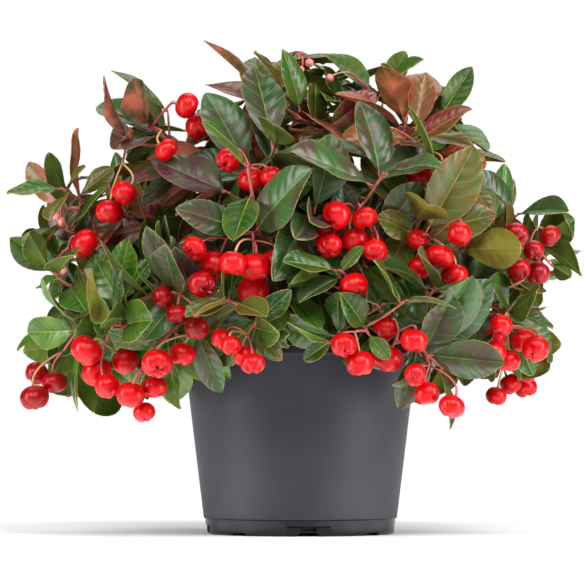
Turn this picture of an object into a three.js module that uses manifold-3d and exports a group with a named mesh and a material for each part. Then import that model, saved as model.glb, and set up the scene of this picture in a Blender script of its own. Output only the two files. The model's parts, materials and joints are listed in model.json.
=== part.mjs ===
// Wintergreen in a round nursery pot: a low evergreen shrub with glossy leaves and hanging red berries.
// Many stems fan out of one short rootstock, and each carries a mass of leaf sprays beyond its bough.
// Millimetres and degrees. +Z is up, -Y is the front, and the origin is on the ground at the pot's axis.

import * as THREE from 'three';
import { mergeVertices } from 'three/addons/utils/BufferGeometryUtils.js';
import Module from 'manifold-3d';

const wasm = await Module();
wasm.setup();

const { degToRad, lerp } = THREE.MathUtils;
const CLEAR = 0.3; // between neighbouring pieces
const FINEST = 0.01; // flatter steps are smoothed away where solids are fused
const NEAREST = 0.002; // closer vertices can't be told apart in a saved mesh
const NUDGE = 0.03; // a piece that would bring vertices so close is moved down by this, and tried again
const NUDGES = 5;
const BELOW_GROUND = 1; // how far under the pot a cut starts
const ROOM = 0.4; // left round whatever grows
const UP = new THREE.Vector3(0, 0, 1);
const FULL_TURN = 2 * Math.PI;
const GOLDEN_ANGLE = degToRad(137.508);

// The pot is a 13 cm nursery pot. Its body tapers to a foot band, under a collar that stands proud.
const POT = {
  height: 102,
  rimRadius: 65,
  collarHeight: 12.2,
  neckRadius: 58.7,
  waistRadius: 48.8,
  footRadius: 47.6,
  bandHeight: 7.8,
  wall: 1.6,
  lipRound: 0.8,
  footRound: 1.4,
  ringWidth: 3.4,
  step: 0.4,
  baseLift: 2,
  floorThickness: 2.4,
  centrePadRadius: 15,
  segments: 36,
};

// Round the foot, four drained arches stand between four small notches. A drain goes through the foot's
// wall as a slot, and on down through the floor just inside the standing ring.
const ARCH = { turn: 4.9, width: 22, height: 5, depth: 0.6, vent: { bottom: 15, top: 8, height: 1.8 } };
const DRAIN = { width: 7.6, bottom: 2.6, top: 4.2, floorReach: 8, floorWidth: 3.6 };
const NOTCH = { width: 8.6, height: 1.5 };
const REPEATS = 4;

const SOIL = { level: 90, crown: 1.5, flatRadius: 20, shrunk: 0.9, edgeDrop: 1, edgeWidth: 4, segments: 24 };

// The rootstock is a short knuckle of old wood, half hidden by the soil. Stems leave its round head.
const ROOTSTOCK = { headHeight: 101, headRadius: 13, neckRadius: 11, flareRadius: 17, segments: 16 };

const BOUGH = { baseRadius: 1.5, tipRadius: 1.3, sides: 4, steps: 4, share: 0.52, spring: 0.55 };
// Low masses leave the rootstock nearly level and high ones steeply, at least an angle apart.
const CLIMB = { heights: [88, 226], angles: [26, 76], apart: 16.5, lowest: 20 };
const STEM = { radius: 1.35, tipRadius: 1.3, steps: 2 };
// Side twigs leave the outer part of the stem and turn up a little. They touch nothing past their own foot.
const TWIG = {
  radius: 1.3,
  tipRadius: 1.2,
  steps: 1,
  length: [24, 38],
  angle: [38, 62],
  turnUp: 0.12,
  from: 0.3,
  to: 0.82,
  foot: 0.1,
};

// A spray is a loose rosette: leaves in a spiral down the last stretch of a twig. The inner leaves are
// shorter and stand more upright, and each leaf strays from the rule a little.
const SPRAY = {
  top: 1.2,
  step: 2.6,
  open: [42, 96],
  turnUp: 0.3,
  shortest: 0.74,
  fullSizeFrom: 0.625,
  sideScale: 0.92,
  sideFewer: 3,
  stray: { turn: 17, open: 9, roll: 14, size: [0.88, 1.1], width: [0.9, 1.08] },
};
const LEAF = {
  halfWidth: 0.3,
  widest: 0.52,
  widestDroop: 0.02,
  droop: 0.1,
  keel: 0.045,
  keelAt: 0.25,
  sunk: 0.4,
  stalk: 0.08,
  rim: [[0.3, 0.78], [0.7, 0.88]],
  swell: 0.3,
};
// A leaf that finds no room is tried turned aside, then smaller. These few stand for more, so they are large.
const LEAF_SIZES = [1.25, 1.08, 0.92, 0.78];
const LEAF_TURNS = [0, 26, -26, 52, -52];

// Berries hang on short stalks below a spray's outer side, in a loose bunch. The flesh is given as shares
// of the radius: heights and widths from where the stalk enters it to the far end.
const BERRY = {
  radius: [5.6, 7.4],
  flesh: [[0.8, 0], [0.05, 1], [-0.78, 0.64], [-0.86, 0]],
  sides: 5,
  stalk: 0.45,
  stalkEnd: 0.86,
  stalkFoot: 2,
  first: 5.1,
  step: 2.6,
  out: [3, 15],
  aside: 12,
  drop: [4, 17],
  tries: 36,
  mainShare: 0.7,
};
const LEAVES_BEFORE_FRUIT = 1;

// The crown's limits: the solids keep inside them, and the furthest tips reach them.
const CROWN = { left: -150, right: 142, front: -134, back: 132, top: 246, bottom: 38 };
const OWN_SPACE = 62; // radius of a mass's space round the middle of its stem

const COLOURS = {
  pot: 0x35363b,
  soil: 0x2b211b,
  bark: 0x7a5a3c,
  deep: 0x2f4a2c,
  green: 0x3f6b2f,
  fresh: 0x4f8a1e,
  olive: 0x6b6a2a,
  bronze: 0x5b4547,
  copper: 0x8a4a3a,
};

// Each mass: name, azimuth from the front (right is positive), height and reach of its main spray, tint,
// leaf length, leaves on the main spray, side twigs, and berries. Front and sides first.
const MASSES = [
  ['front_left', -14, 147, 97, 'deep', 44, 8, 2, 6],
  ['front_right', 14, 148, 94, 'deep', 40, 8, 2, 5],
  ['front_high', -23, 180, 66, 'deep', 46, 7, 2, 3],
  ['right_shoulder', 36, 146, 102, 'olive', 50, 7, 2, 4],
  ['left_waist', -34, 116, 106, 'deep', 36, 7, 2, 6],
  ['front_low_left', -12, 101, 108, 'green', 32, 7, 1, 4],
  ['front_low_right', 17, 98, 110, 'green', 34, 7, 2, 5],
  ['right_low', 34, 88, 108, 'deep', 42, 7, 2, 6],
  ['left_low', -42, 90, 108, 'fresh', 40, 8, 2, 6],
  ['left_skirt', -70, 101, 118, 'fresh', 34, 7, 2, 5],
  ['right_skirt', 64, 109, 114, 'copper', 36, 7, 2, 5],
  ['left_tip', -86, 164, 120, 'copper', 32, 8, 2, 2],
  ['left_hollow', -98, 138, 122, 'olive', 36, 7, 2, 4],
  ['right_tip', 88, 147, 122, 'green', 36, 8, 2, 6],
  ['left_peak', -62, 203, 86, 'bronze', 40, 8, 2, 2],
  ['right_peak', 86, 213, 62, 'green', 38, 8, 2, 0],
  ['right_upper', 56, 183, 80, 'bronze', 38, 7, 2, 2],
  ['top_left', -50, 222, 24, 'copper', 40, 8, 2, 0],
  ['top_right', 128, 226, 26, 'green', 36, 8, 2, 0],
];

// The back is filled by two rings of masses, with heights and tints taken in turn.
const BACK_RINGS = [
  { name: 'back_low', count: 5, from: 112, to: 252, heights: [98, 108], reach: 112, leaf: 40, berries: 4 },
  { name: 'back_high', count: 4, from: 128, to: 236, heights: [166, 152], reach: 92, leaf: 44, berries: 3 },
];
const BACK_SPRAY = { leaves: 6, twigs: 3 };
const BACK_TINTS = ['deep', 'green', 'olive', 'copper', 'fresh'];

/** A repeatable stream of numbers: each call gives one between low and high. */
function stream(...seeds) {
  const modulus = 2147483647;
  let state = 1;
  for (const seed of seeds) state = (state * 48271 + 7919 * (seed + 1)) % modulus;
  return (low, high) => {
    state = (state * 48271) % modulus;
    return low + ((high - low) * state) / modulus;
  };
}

/** The closed solid of a three.js geometry. */
function solid(geometry) {
  const bare = geometry.clone();
  bare.deleteAttribute('normal');
  bare.deleteAttribute('uv');
  const merged = mergeVertices(bare, 1e-4);
  return new wasm.Manifold(
    new wasm.Mesh({
      numProp: 3,
      vertProperties: new Float32Array(merged.attributes.position.array),
      triVerts: new Uint32Array(merged.index.array),
    }),
  );
}

/** Whether some vertices of a solid lie too close together. */
function isCrowded(body) {
  const { vertProperties } = body.getMesh();
  const corners = [];
  for (let i = 0; i < vertProperties.length; i += 3) corners.push(vertProperties.slice(i, i + 3));
  corners.sort((a, b) => a[0] - b[0]);
  return corners.some(([x, y, z], i) => {
    for (let k = i + 1; k < corners.length && corners[k][0] - x < NEAREST; k += 1) {
      if (Math.hypot(corners[k][0] - x, corners[k][1] - y, corners[k][2] - z) < NEAREST) return true;
    }
    return false;
  });
}

/** All the solids as one, without loose scraps or sealed hollows. */
function fused(solids) {
  let whole = solids[0];
  for (const next of solids.slice(1)) {
    let joined = whole.add(next).simplify(FINEST);
    for (let i = 1; i <= NUDGES && isCrowded(joined); i += 1) {
      joined = whole.add(next.translate(0, 0, -NUDGE * i)).simplify(FINEST);
    }
    whole = joined;
  }
  return whole.decompose().reduce((best, next) => (next.volume() > best.volume() ? next : best));
}

/** A named mesh of a solid. */
function meshOf(name, body, colour, roughness) {
  const { vertProperties, triVerts } = body.getMesh();
  const geometry = new THREE.BufferGeometry();
  geometry.setAttribute('position', new THREE.BufferAttribute(vertProperties, 3));
  geometry.setIndex(new THREE.BufferAttribute(triVerts, 1));
  geometry.computeVertexNormals();
  const material = new THREE.MeshStandardMaterial({ color: colour, roughness, metalness: 0 });
  const mesh = new THREE.Mesh(geometry, material);
  mesh.name = name;
  return mesh;
}

/** A solid of revolution round Z from points of radius and height. */
function turned(profile, segments) {
  const points = profile.map(([radius, height]) => new THREE.Vector2(radius, height));
  return new THREE.LatheGeometry(points, segments).rotateX(Math.PI / 2);
}

/** Profile points of a quarter round from one angle to another. */
function quarter(radius, height, round, fromAngle, toAngle) {
  return [0, 1].map((share) => {
    const angle = degToRad(lerp(fromAngle, toAngle, share));
    return [radius + round * Math.cos(angle), height + round * Math.sin(angle)];
  });
}

function makePot() {
  const collarBottom = POT.height - POT.collarHeight;
  const foot = POT.footRadius - POT.footRound;
  const lip = POT.rimRadius - POT.lipRound;
  const floorTop = POT.baseLift + POT.floorThickness;
  const profile = [
    [0, 0],
    [POT.centrePadRadius, 0],
    [POT.centrePadRadius, POT.baseLift],
    [POT.footRadius - POT.ringWidth, POT.baseLift],
    [POT.footRadius - POT.ringWidth, 0],
    ...quarter(foot, POT.footRound, POT.footRound, -90, 0),
    [POT.footRadius + POT.step, POT.bandHeight],
    [POT.waistRadius, POT.bandHeight + POT.step],
    [POT.neckRadius, collarBottom],
    [POT.rimRadius, collarBottom],
    ...quarter(lip, POT.height - POT.lipRound, POT.lipRound, 0, 90),
    [POT.rimRadius - POT.wall, POT.height],
    [POT.rimRadius - POT.wall, collarBottom + POT.wall],
    [POT.neckRadius - POT.wall, collarBottom + POT.wall],
    [POT.waistRadius - POT.wall, floorTop],
    [0, floorTop],
  ];
  let pot = solid(turned(profile, POT.segments));
  for (let i = 0; i < REPEATS; i += 1) {
    const archTurn = degToRad(ARCH.turn + (360 / REPEATS) * i);
    const notchTurn = archTurn + Math.PI / REPEATS;
    for (const cut of archCuts()) pot = pot.subtract(solid(cut.rotateZ(archTurn)));
    const notch = footBox(NOTCH.width, POT.ringWidth * 2, -BELOW_GROUND, NOTCH.height);
    pot = pot.subtract(solid(notch.rotateZ(notchTurn)));
  }
  return pot;
}

/** A box across the front, as wide as given, between two distances from the axis and two heights. */
function boxAcross(width, inside, outside, bottom, top) {
  const box = new THREE.BoxGeometry(width, outside - inside, top - bottom);
  return box.translate(0, -(outside + inside) / 2, (top + bottom) / 2);
}

/** A box that cuts from outside the foot inwards by a depth. */
function footBox(width, depth, bottom, top) {
  return boxAcross(width, POT.footRadius - depth, POT.neckRadius, bottom, top);
}

/** What is cut away at one arch: its shallow face, the vent at its foot, and the drain above it. */
function archCuts() {
  const { vent } = ARCH;
  const outline = new THREE.Shape([
    new THREE.Vector2(-vent.bottom / 2, -BELOW_GROUND),
    new THREE.Vector2(vent.bottom / 2, -BELOW_GROUND),
    new THREE.Vector2(vent.top / 2, vent.height),
    new THREE.Vector2(-vent.top / 2, vent.height),
  ]);
  const through = POT.ringWidth * 4;
  const ventSolid = new THREE.ExtrudeGeometry(outline, { depth: through, bevelEnabled: false, steps: 1 });
  ventSolid.rotateX(Math.PI / 2).translate(0, -POT.footRadius + through / 2, 0);
  const flat = ARCH.depth + sagitta(POT.footRadius - ARCH.depth, ARCH.width);
  const face = footBox(ARCH.width, flat, -BELOW_GROUND, ARCH.height);
  const slot = footBox(DRAIN.width, DRAIN.floorReach, DRAIN.bottom, DRAIN.top);
  const holeInside = POT.footRadius - DRAIN.floorReach;
  const holeTop = POT.baseLift + POT.floorThickness + BELOW_GROUND;
  const hole = boxAcross(DRAIN.width, holeInside, holeInside + DRAIN.floorWidth, -BELOW_GROUND, holeTop);
  return [ventSolid, face, slot, hole];
}

/** How far a chord of a circle lies inside it. */
function sagitta(radius, chord) {
  return radius - Math.sqrt(radius * radius - (chord * chord) / 4);
}

function makeSoil() {
  const inside = POT.wall + SOIL.shrunk;
  const bottom = POT.baseLift + POT.floorThickness + CLEAR;
  const collarBottom = POT.height - POT.collarHeight;
  const slope = (POT.neckRadius - POT.waistRadius) / (collarBottom - POT.bandHeight);
  const radiusAt = (height) => POT.waistRadius - inside + slope * (height - POT.bandHeight);
  const profile = [
    [0, bottom],
    [radiusAt(bottom) - SOIL.edgeDrop, bottom],
    [radiusAt(SOIL.level), SOIL.level - SOIL.edgeDrop],
    [radiusAt(SOIL.level) - SOIL.edgeWidth, SOIL.level],
    [SOIL.flatRadius, SOIL.level + SOIL.crown],
    [0, SOIL.level + SOIL.crown],
  ];
  return solid(turned(profile, SOIL.segments));
}

function makeRootstock() {
  const { headHeight, headRadius, neckRadius, flareRadius } = ROOTSTOCK;
  const foot = SOIL.level + SOIL.crown + CLEAR;
  const head = [-20, 10, 38, 64].map((angle) => [
    headRadius * Math.cos(degToRad(angle)),
    headHeight + headRadius * Math.sin(degToRad(angle)),
  ]);
  const profile = [
    [0, foot],
    [flareRadius, foot],
    [lerp(flareRadius, neckRadius, 0.65), foot + 1.6],
    [neckRadius, foot + 3.4],
    ...head,
    [0, headHeight + headRadius],
  ];
  return solid(turned(profile, ROOTSTOCK.segments));
}

/** A tapering limb along a stretch of a bend, which lies in one plane. */
function limb(bend, from, to, radius, tipRadius, sides, steps) {
  const geometry = new THREE.CylinderGeometry(tipRadius, radius, 1, sides, steps);
  const place = geometry.attributes.position;
  const across = acrossOf(bend);
  for (let i = 0; i < place.count; i += 1) {
    const along = lerp(from, to, place.getY(i) + 0.5);
    const point = bend.getPoint(along)
      .addScaledVector(heading(bend, along).cross(across), place.getX(i))
      .addScaledVector(across, place.getZ(i));
    place.setXYZ(i, point.x, point.y, point.z);
  }
  return geometry;
}

/** The unit direction of a bend at a share of it. */
function heading(bend, share) {
  const first = bend.v1.clone().sub(bend.v0);
  const last = bend.v2.clone().sub(bend.v1);
  return first.lerp(last, share).normalize();
}

/** The unit normal of the plane that a bend lies in. */
function acrossOf(bend) {
  const across = heading(bend, 0).cross(heading(bend, 1));
  if (across.length() < 1e-3) across.copy(heading(bend, 0)).cross(new THREE.Vector3(1, 0.2, 0));
  return across.normalize();
}

/** Two unit vectors square to a direction and to each other. */
function squareTo(direction) {
  const helper = Math.abs(direction.z) < 0.9 ? UP : new THREE.Vector3(1, 0, 0);
  const side = direction.clone().cross(helper).normalize();
  return [side, side.clone().cross(direction)];
}

/** The direction that stands at an angle to an axis, turned round it. */
function tilted(axis, angle, turn) {
  const [side, rise] = squareTo(axis);
  return axis.clone().multiplyScalar(Math.cos(angle))
    .addScaledVector(side, Math.sin(angle) * Math.cos(turn))
    .addScaledVector(rise, Math.sin(angle) * Math.sin(turn));
}

/** Whether two round-cornered hulls lie at least a gap apart: the shortest vector between them is narrowed. */
function apart(a, b, gap) {
  const away = a.centre.clone().sub(b.centre);
  const wanted = gap + a.swell + b.swell;
  if (away.length() - a.radius - b.radius >= wanted) return true;
  for (let i = 0; i < 30; i += 1) {
    const nearest = endOf(a.points, away, -1).clone().sub(endOf(b.points, away, 1));
    const length = away.length();
    if (nearest.dot(away) >= wanted * length) return true;
    if (length < wanted) return false;
    const step = nearest.sub(away);
    const share = THREE.MathUtils.clamp(-away.dot(step) / step.lengthSq(), 0, 1);
    away.addScaledVector(step, share);
  }
  return false;
}

/** The point of a list that lies furthest along a direction, or furthest against it. */
function endOf(points, direction, sign) {
  let best = points[0];
  for (const point of points) if (sign * (point.dot(direction) - best.dot(direction)) > 0) best = point;
  return best;
}

/** What a piece of the plant fills: the hull of its points, swollen all round. */
function block(points, swell, owner, kind) {
  const centre = points.reduce((sum, point) => sum.add(point), new THREE.Vector3()).divideScalar(points.length);
  const radius = Math.max(...points.map((point) => point.distanceTo(centre)));
  return { points, swell, owner, kind, centre, radius };
}

/** The blocks of a stretch of a bend. */
function bendBlocks(bend, from, to, steps, radius, owner) {
  const blocks = [];
  for (let i = 0; i < steps; i += 1) {
    const ends = [i, i + 1].map((k) => bend.getPoint(lerp(from, to, k / steps)));
    blocks.push(block(ends, radius, owner, 'wood'));
  }
  return blocks;
}

/** The pot's outer hull, which all foliage keeps clear of. */
function potBlock() {
  const points = [];
  for (let i = 0; i < POT.segments; i += 1) {
    const turn = (FULL_TURN * i) / POT.segments;
    for (const [radius, height] of [[POT.rimRadius, POT.height], [POT.footRadius, 0]]) {
      points.push(new THREE.Vector3(radius * Math.cos(turn), radius * Math.sin(turn), height));
    }
  }
  return block(points, CLEAR, 'pot', 'pot');
}

function insideCrown(point) {
  return point.x > CROWN.left && point.x < CROWN.right && point.y > CROWN.front && point.y < CROWN.back
    && point.z > CROWN.bottom && point.z < CROWN.top;
}

const filled = [potBlock()];

/** Whether new blocks are clear of all that stands there already, apart from what they may grow out of. */
function isFree(blocks, mayTouch) {
  return blocks.every((made) => made.points.every(insideCrown)
    && filled.every((there) => mayTouch(there) || apart(made, there, ROOM)));
}

/** The plan of each mass: where its main spray stands and the bend that carries it. */
function planMasses() {
  const rows = MASSES.map(([name, azimuth, height, reach, tint, leaf, leaves, twigs, berries]) => (
    { name, azimuth, height, reach, tint, leaf, leaves, twigs, berries }));
  for (const ring of BACK_RINGS) {
    for (let i = 0; i < ring.count; i += 1) {
      rows.push({
        name: `${ring.name}_${i + 1}`,
        azimuth: lerp(ring.from, ring.to, i / (ring.count - 1)),
        height: ring.heights[i % ring.heights.length],
        reach: ring.reach,
        tint: BACK_TINTS[(rows.length * 3) % BACK_TINTS.length],
        leaf: ring.leaf,
        ...BACK_SPRAY,
        berries: ring.berries,
      });
    }
  }
  const ways = spreadOut(rows.map(firstWay));
  return rows.map((row, index) => ({ ...row, index, bend: bendOf(row, ways[index]) }));
}

/** The unit vector at an azimuth from the front and an angle above level. */
function wayTo(azimuth, climb) {
  const turn = degToRad(azimuth);
  const level = Math.cos(degToRad(climb));
  return new THREE.Vector3(level * Math.sin(turn), -level * Math.cos(turn), Math.sin(degToRad(climb)));
}

/** The way that a mass's stem would leave the rootstock if it stood alone. */
function firstWay({ azimuth, height }) {
  const [low, high] = CLIMB.heights;
  return wayTo(azimuth, lerp(...CLIMB.angles, (height - low) / (high - low)));
}

/** Unit vectors pushed apart in turn until none crowd, and none points too low. */
function spreadOut(ways) {
  const least = degToRad(CLIMB.apart);
  for (let round = 0; round < 80; round += 1) {
    ways.forEach((one, i) => ways.slice(i + 1).forEach((other) => {
      const angle = one.angleTo(other);
      if (angle < least) {
        const push = one.clone().sub(other).setLength((least - angle) / 2);
        one.add(push).normalize();
        other.sub(push).normalize();
      }
    }));
    for (const way of ways) {
      way.z = Math.max(way.z, Math.sin(degToRad(CLIMB.lowest)));
      way.normalize();
    }
  }
  return ways;
}

/** The bend from the rootstock's head to a mass's main spray: it springs up, then arches over. */
function bendOf({ azimuth, height, reach }, outwards) {
  const end = wayTo(azimuth, 0).multiplyScalar(reach).setZ(height);
  const head = new THREE.Vector3(0, 0, ROOTSTOCK.headHeight);
  const start = head.addScaledVector(outwards, ROOTSTOCK.headRadius + CLEAR);
  const middle = start.clone().addScaledVector(outwards, BOUGH.spring * start.distanceTo(end));
  return new THREE.QuadraticBezierCurve3(start, middle, end);
}

/** A side twig of a mass: it leaves the stem at an angle and turns up a little towards its tip. */
function sideTwig(mass, number) {
  const draw = stream(mass.index, number, 1);
  const share = lerp(BOUGH.share, 1, lerp(TWIG.from, TWIG.to, (number - 0.5) / mass.twigs));
  const base = mass.bend.getPoint(share);
  const turn = GOLDEN_ANGLE * number + draw(0, FULL_TURN);
  const lean = degToRad(draw(...TWIG.angle));
  const length = draw(...TWIG.length);
  const way = tilted(heading(mass.bend, share), lean, turn);
  const tip = base.clone().addScaledVector(way, length).addScaledVector(UP, TWIG.turnUp * length);
  return new THREE.QuadraticBezierCurve3(base, base.clone().addScaledVector(way, length / 2), tip);
}

/** One leaf: its root on the twig's axis, its direction, and a function that gives points in its own frame. */
function layLeaf(mass, spray, order, scale, aside) {
  const { stray } = SPRAY;
  const draw = stream(mass.index, spray.number, 10 + order);
  const share = spray.leaves > 1 ? order / (spray.leaves - 1) : 0;
  const root = spray.tip.clone().addScaledVector(spray.axis, -(SPRAY.top + SPRAY.step * order));
  const turn = spray.turn + GOLDEN_ANGLE * order + degToRad(draw(-stray.turn, stray.turn) + aside);
  const open = degToRad(lerp(...SPRAY.open, share) + draw(-stray.open, stray.open));
  const direction = tilted(spray.faces, open, turn);
  const roll = degToRad(draw(-stray.roll, stray.roll));
  const level = spray.faces.clone().addScaledVector(direction, -spray.faces.dot(direction)).normalize();
  const face = level.clone().multiplyScalar(Math.cos(roll))
    .addScaledVector(direction.clone().cross(level), Math.sin(roll));
  const grown = lerp(SPRAY.shortest, 1, Math.min(1, share / SPRAY.fullSizeFrom));
  const size = spray.leafLength * grown * draw(...stray.size) * scale;
  const side = direction.clone().cross(face);
  const at = (along, sideways, lift) => root.clone().addScaledVector(direction, along * size)
    .addScaledVector(side, sideways * size).addScaledVector(face, lift * size);
  const wing = LEAF.halfWidth * draw(...stray.width);
  return { root, direction, wing, at };
}

/** What a leaf fills: the hull of its true rounded outline, a little swollen. */
function leafBlock({ wing, at }, owner) {
  const rim = [-1, 1].flatMap((way) => LEAF.rim.map(([along, width]) => (
    at(along, way * wing * width, -LEAF.droop * along * along))));
  return block([at(LEAF.stalk, 0, 0), ...rim, at(1, 0, -LEAF.droop)], LEAF.swell, owner, 'leaf');
}

/** The faceted solid of a leaf: two wings over a keel that is deepest near the root, which its twig holds. */
function leafSolid({ root, direction, wing, at }) {
  const points = [
    root.clone().addScaledVector(direction, -LEAF.sunk),
    at(LEAF.widest, wing, -LEAF.widestDroop),
    at(LEAF.widest, -wing, -LEAF.widestDroop),
    at(1, 0, -LEAF.droop),
    at(LEAF.keelAt, 0, -LEAF.keel),
  ];
  const [foot, right, left, tip, keel] = points.keys();
  const geometry = new THREE.BufferGeometry().setFromPoints(points);
  geometry.setIndex([
    foot, right, left, left, right, tip,
    foot, keel, right, foot, left, keel,
    tip, right, keel, tip, keel, left,
  ]);
  return solid(geometry);
}

/** The berries of one spray: each hangs from the twig below the leaves, outwards, where there is room. */
function hangBerries(mass, spray, count, owner) {
  const solids = [];
  const outwards = wayTo(mass.azimuth, 0);
  const aside = outwards.clone().cross(UP);
  const ownWood = (there) => there.owner === owner && (there.kind === 'wood' || there.kind === 'stalk');
  for (let i = 0; i < count; i += 1) {
    const draw = stream(mass.index, spray.number, 40 + i);
    const radius = draw(...BERRY.radius);
    const foot = spray.tip.clone().addScaledVector(spray.axis, -(BERRY.first + BERRY.step * i));
    for (let attempt = 0; attempt < BERRY.tries; attempt += 1) {
      const centre = foot.clone()
        .addScaledVector(outwards, draw(...BERRY.out))
        .addScaledVector(aside, draw(-BERRY.aside, BERRY.aside))
        .addScaledVector(UP, -draw(...BERRY.drop) - radius);
      const hang = centre.clone().sub(foot).normalize();
      const stalkTop = foot.clone().addScaledVector(hang, BERRY.stalkFoot);
      const stalkEnd = centre.clone().addScaledVector(hang, -radius * BERRY.stalkEnd);
      const berry = block([centre], radius, owner, 'berry');
      const stalk = block([stalkTop, stalkEnd], BERRY.stalk, owner, 'stalk');
      if (isFree([berry], () => false) && isFree([stalk], ownWood)) {
        filled.push(berry, stalk);
        solids.push(berrySolid(foot, centre, hang, radius));
        break;
      }
    }
  }
  return solids;
}

/** A five-sided berry with its stalk, which runs from the twig's axis to the top of the flesh. */
function berrySolid(foot, centre, hang, radius) {
  const { stalk } = BERRY;
  const [shoulder, ...round] = BERRY.flesh.map(([height, width]) => [width * radius, height * radius]);
  const top = centre.distanceTo(foot);
  const profile = [[0, top], [stalk, top - stalk], [stalk, shoulder[1]], ...round].reverse();
  const berry = turned(profile, BERRY.sides);
  berry.applyQuaternion(new THREE.Quaternion().setFromUnitVectors(new THREE.Vector3(0, 0, -1), hang));
  return solid(berry.translate(centre.x, centre.y, centre.z));
}

/** The spray at the end of a bend, on the last straight stretch of its wood, which begins at a share of it. */
function sprayAt(mass, number, bend, straightFrom, leaves, leafLength) {
  const draw = stream(mass.index, number, 2);
  const axis = bend.v2.clone().sub(bend.getPoint(straightFrom)).normalize();
  const faces = axis.clone().addScaledVector(UP, SPRAY.turnUp).normalize();
  return { number, tip: bend.v2, axis, faces, turn: draw(0, FULL_TURN), leaves, leafLength };
}

const masses = planMasses();
const wood = new Map();

/** Adds a stretch of wood to what is filled and to its mass's solids. */
function addWood(mass, owner, bend, from, to, sizes, steps) {
  filled.push(...bendBlocks(bend, from, to, steps, sizes.radius, owner));
  const made = solid(limb(bend, from, to, sizes.radius, sizes.tipRadius, 3, steps));
  wood.set(mass.index, [...(wood.get(mass.index) ?? []), made]);
}

/** The share of a bend that a short length takes up at its bough's tip. */
function shareOf(bend, length) {
  return length / bend.getPoint(BOUGH.share).distanceTo(bend.getPoint(BOUGH.share + 0.01)) / 100;
}

const group = new THREE.Group();
group.add(meshOf('pot', makePot(), COLOURS.pot, 0.55));
group.add(meshOf('soil', makeSoil(), COLOURS.soil, 0.95));
group.add(meshOf('rootstock', makeRootstock(), COLOURS.bark, 0.85));

for (const mass of masses) {
  const { bend } = mass;
  const radii = [BOUGH.baseRadius, BOUGH.tipRadius];
  group.add(meshOf(
    `bough_${mass.name}`,
    solid(limb(bend, 0, BOUGH.share, ...radii, BOUGH.sides, BOUGH.steps)),
    COLOURS.bark,
    0.8,
  ));
  filled.push(...bendBlocks(bend, 0, BOUGH.share, BOUGH.steps, BOUGH.baseRadius, `bough_${mass.name}`));
}

for (const mass of masses) {
  const start = BOUGH.share + shareOf(mass.bend, CLEAR);
  addWood(mass, `${mass.name}_0`, mass.bend, start, 1, STEM, STEM.steps);
  mass.sprays = [sprayAt(mass, 0, mass.bend, (start + 1) / 2, mass.leaves, mass.leaf)];
}

for (const mass of masses) {
  for (let number = 1; number <= mass.twigs; number += 1) {
    const bend = sideTwig(mass, number);
    const owner = `${mass.name}_${number}`;
    const free = isFree(
      bendBlocks(bend, TWIG.foot, 1, 2, TWIG.radius, owner),
      (there) => there.owner === `${mass.name}_0`,
    );
    if (free) {
      addWood(mass, owner, bend, 0, 1, TWIG, TWIG.steps);
      mass.sprays.push(sprayAt(mass, number, bend, 0, mass.leaves - SPRAY.sideFewer, mass.leaf * SPRAY.sideScale));
    }
  }
}

/** The first way of laying a leaf that keeps to its mass's space and touches nothing but its own twig. */
function findRoom(mass, spray, order, owner) {
  const middle = mass.bend.getPoint((1 + BOUGH.share) / 2);
  const ownTwig = (there) => there.owner === owner && (there.kind === 'wood' || there.kind === 'leaf');
  for (const size of LEAF_SIZES) {
    for (const aside of LEAF_TURNS) {
      const leaf = layLeaf(mass, spray, order, size, aside);
      const made = leafBlock(leaf, owner);
      const inSpace = made.points.every((point) => point.distanceTo(middle) < OWN_SPACE);
      if (inSpace && isFree([made], ownTwig)) return { leaf, made };
    }
  }
  return null;
}

const fruit = new Map(masses.map((mass) => [mass.index, []]));
const blades = new Map(masses.map((mass) => [mass.index, []]));

/** Lays the leaves of every spray from one place in the spiral to another, all masses in turn. */
function growLeaves(from, to) {
  for (let order = from; order < to; order += 1) {
    for (const mass of masses) {
      for (const spray of mass.sprays.filter(({ leaves }) => order < leaves)) {
        const room = findRoom(mass, spray, order, `${mass.name}_${spray.number}`);
        if (room) {
          filled.push(room.made);
          blades.get(mass.index).push(leafSolid(room.leaf));
        }
      }
    }
  }
}

/** Hangs each mass's berries: most below its main spray and the rest below the others. */
function growFruit() {
  for (const mass of masses) {
    for (const spray of mass.sprays) {
      const share = spray.number === 0 ? BERRY.mainShare : (1 - BERRY.mainShare) / (mass.sprays.length - 1);
      const count = Math.round(mass.berries * share);
      fruit.get(mass.index).push(...hangBerries(mass, spray, count, `${mass.name}_${spray.number}`));
    }
  }
}

growLeaves(0, LEAVES_BEFORE_FRUIT);
growFruit();
growLeaves(LEAVES_BEFORE_FRUIT, Math.max(...masses.map(({ leaves }) => leaves)));

for (const mass of masses) {
  const parts = [...wood.get(mass.index), ...fruit.get(mass.index), ...blades.get(mass.index)];
  group.add(meshOf(`foliage_${mass.name}`, fused(parts), COLOURS[mass.tint], 0.5));
}

export default group;
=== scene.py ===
# %% [markdown]
# # A potted wintergreen
# Wintergreen is a low evergreen shrub with leathery leaves in loose whorls and red berries that hang below
# them. It stands in a round nursery pot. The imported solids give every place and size. This lesson dresses
# them: a smoother pot, crumbly soil, wood with bark, veined leaves and berries with a star at the far end.

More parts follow.
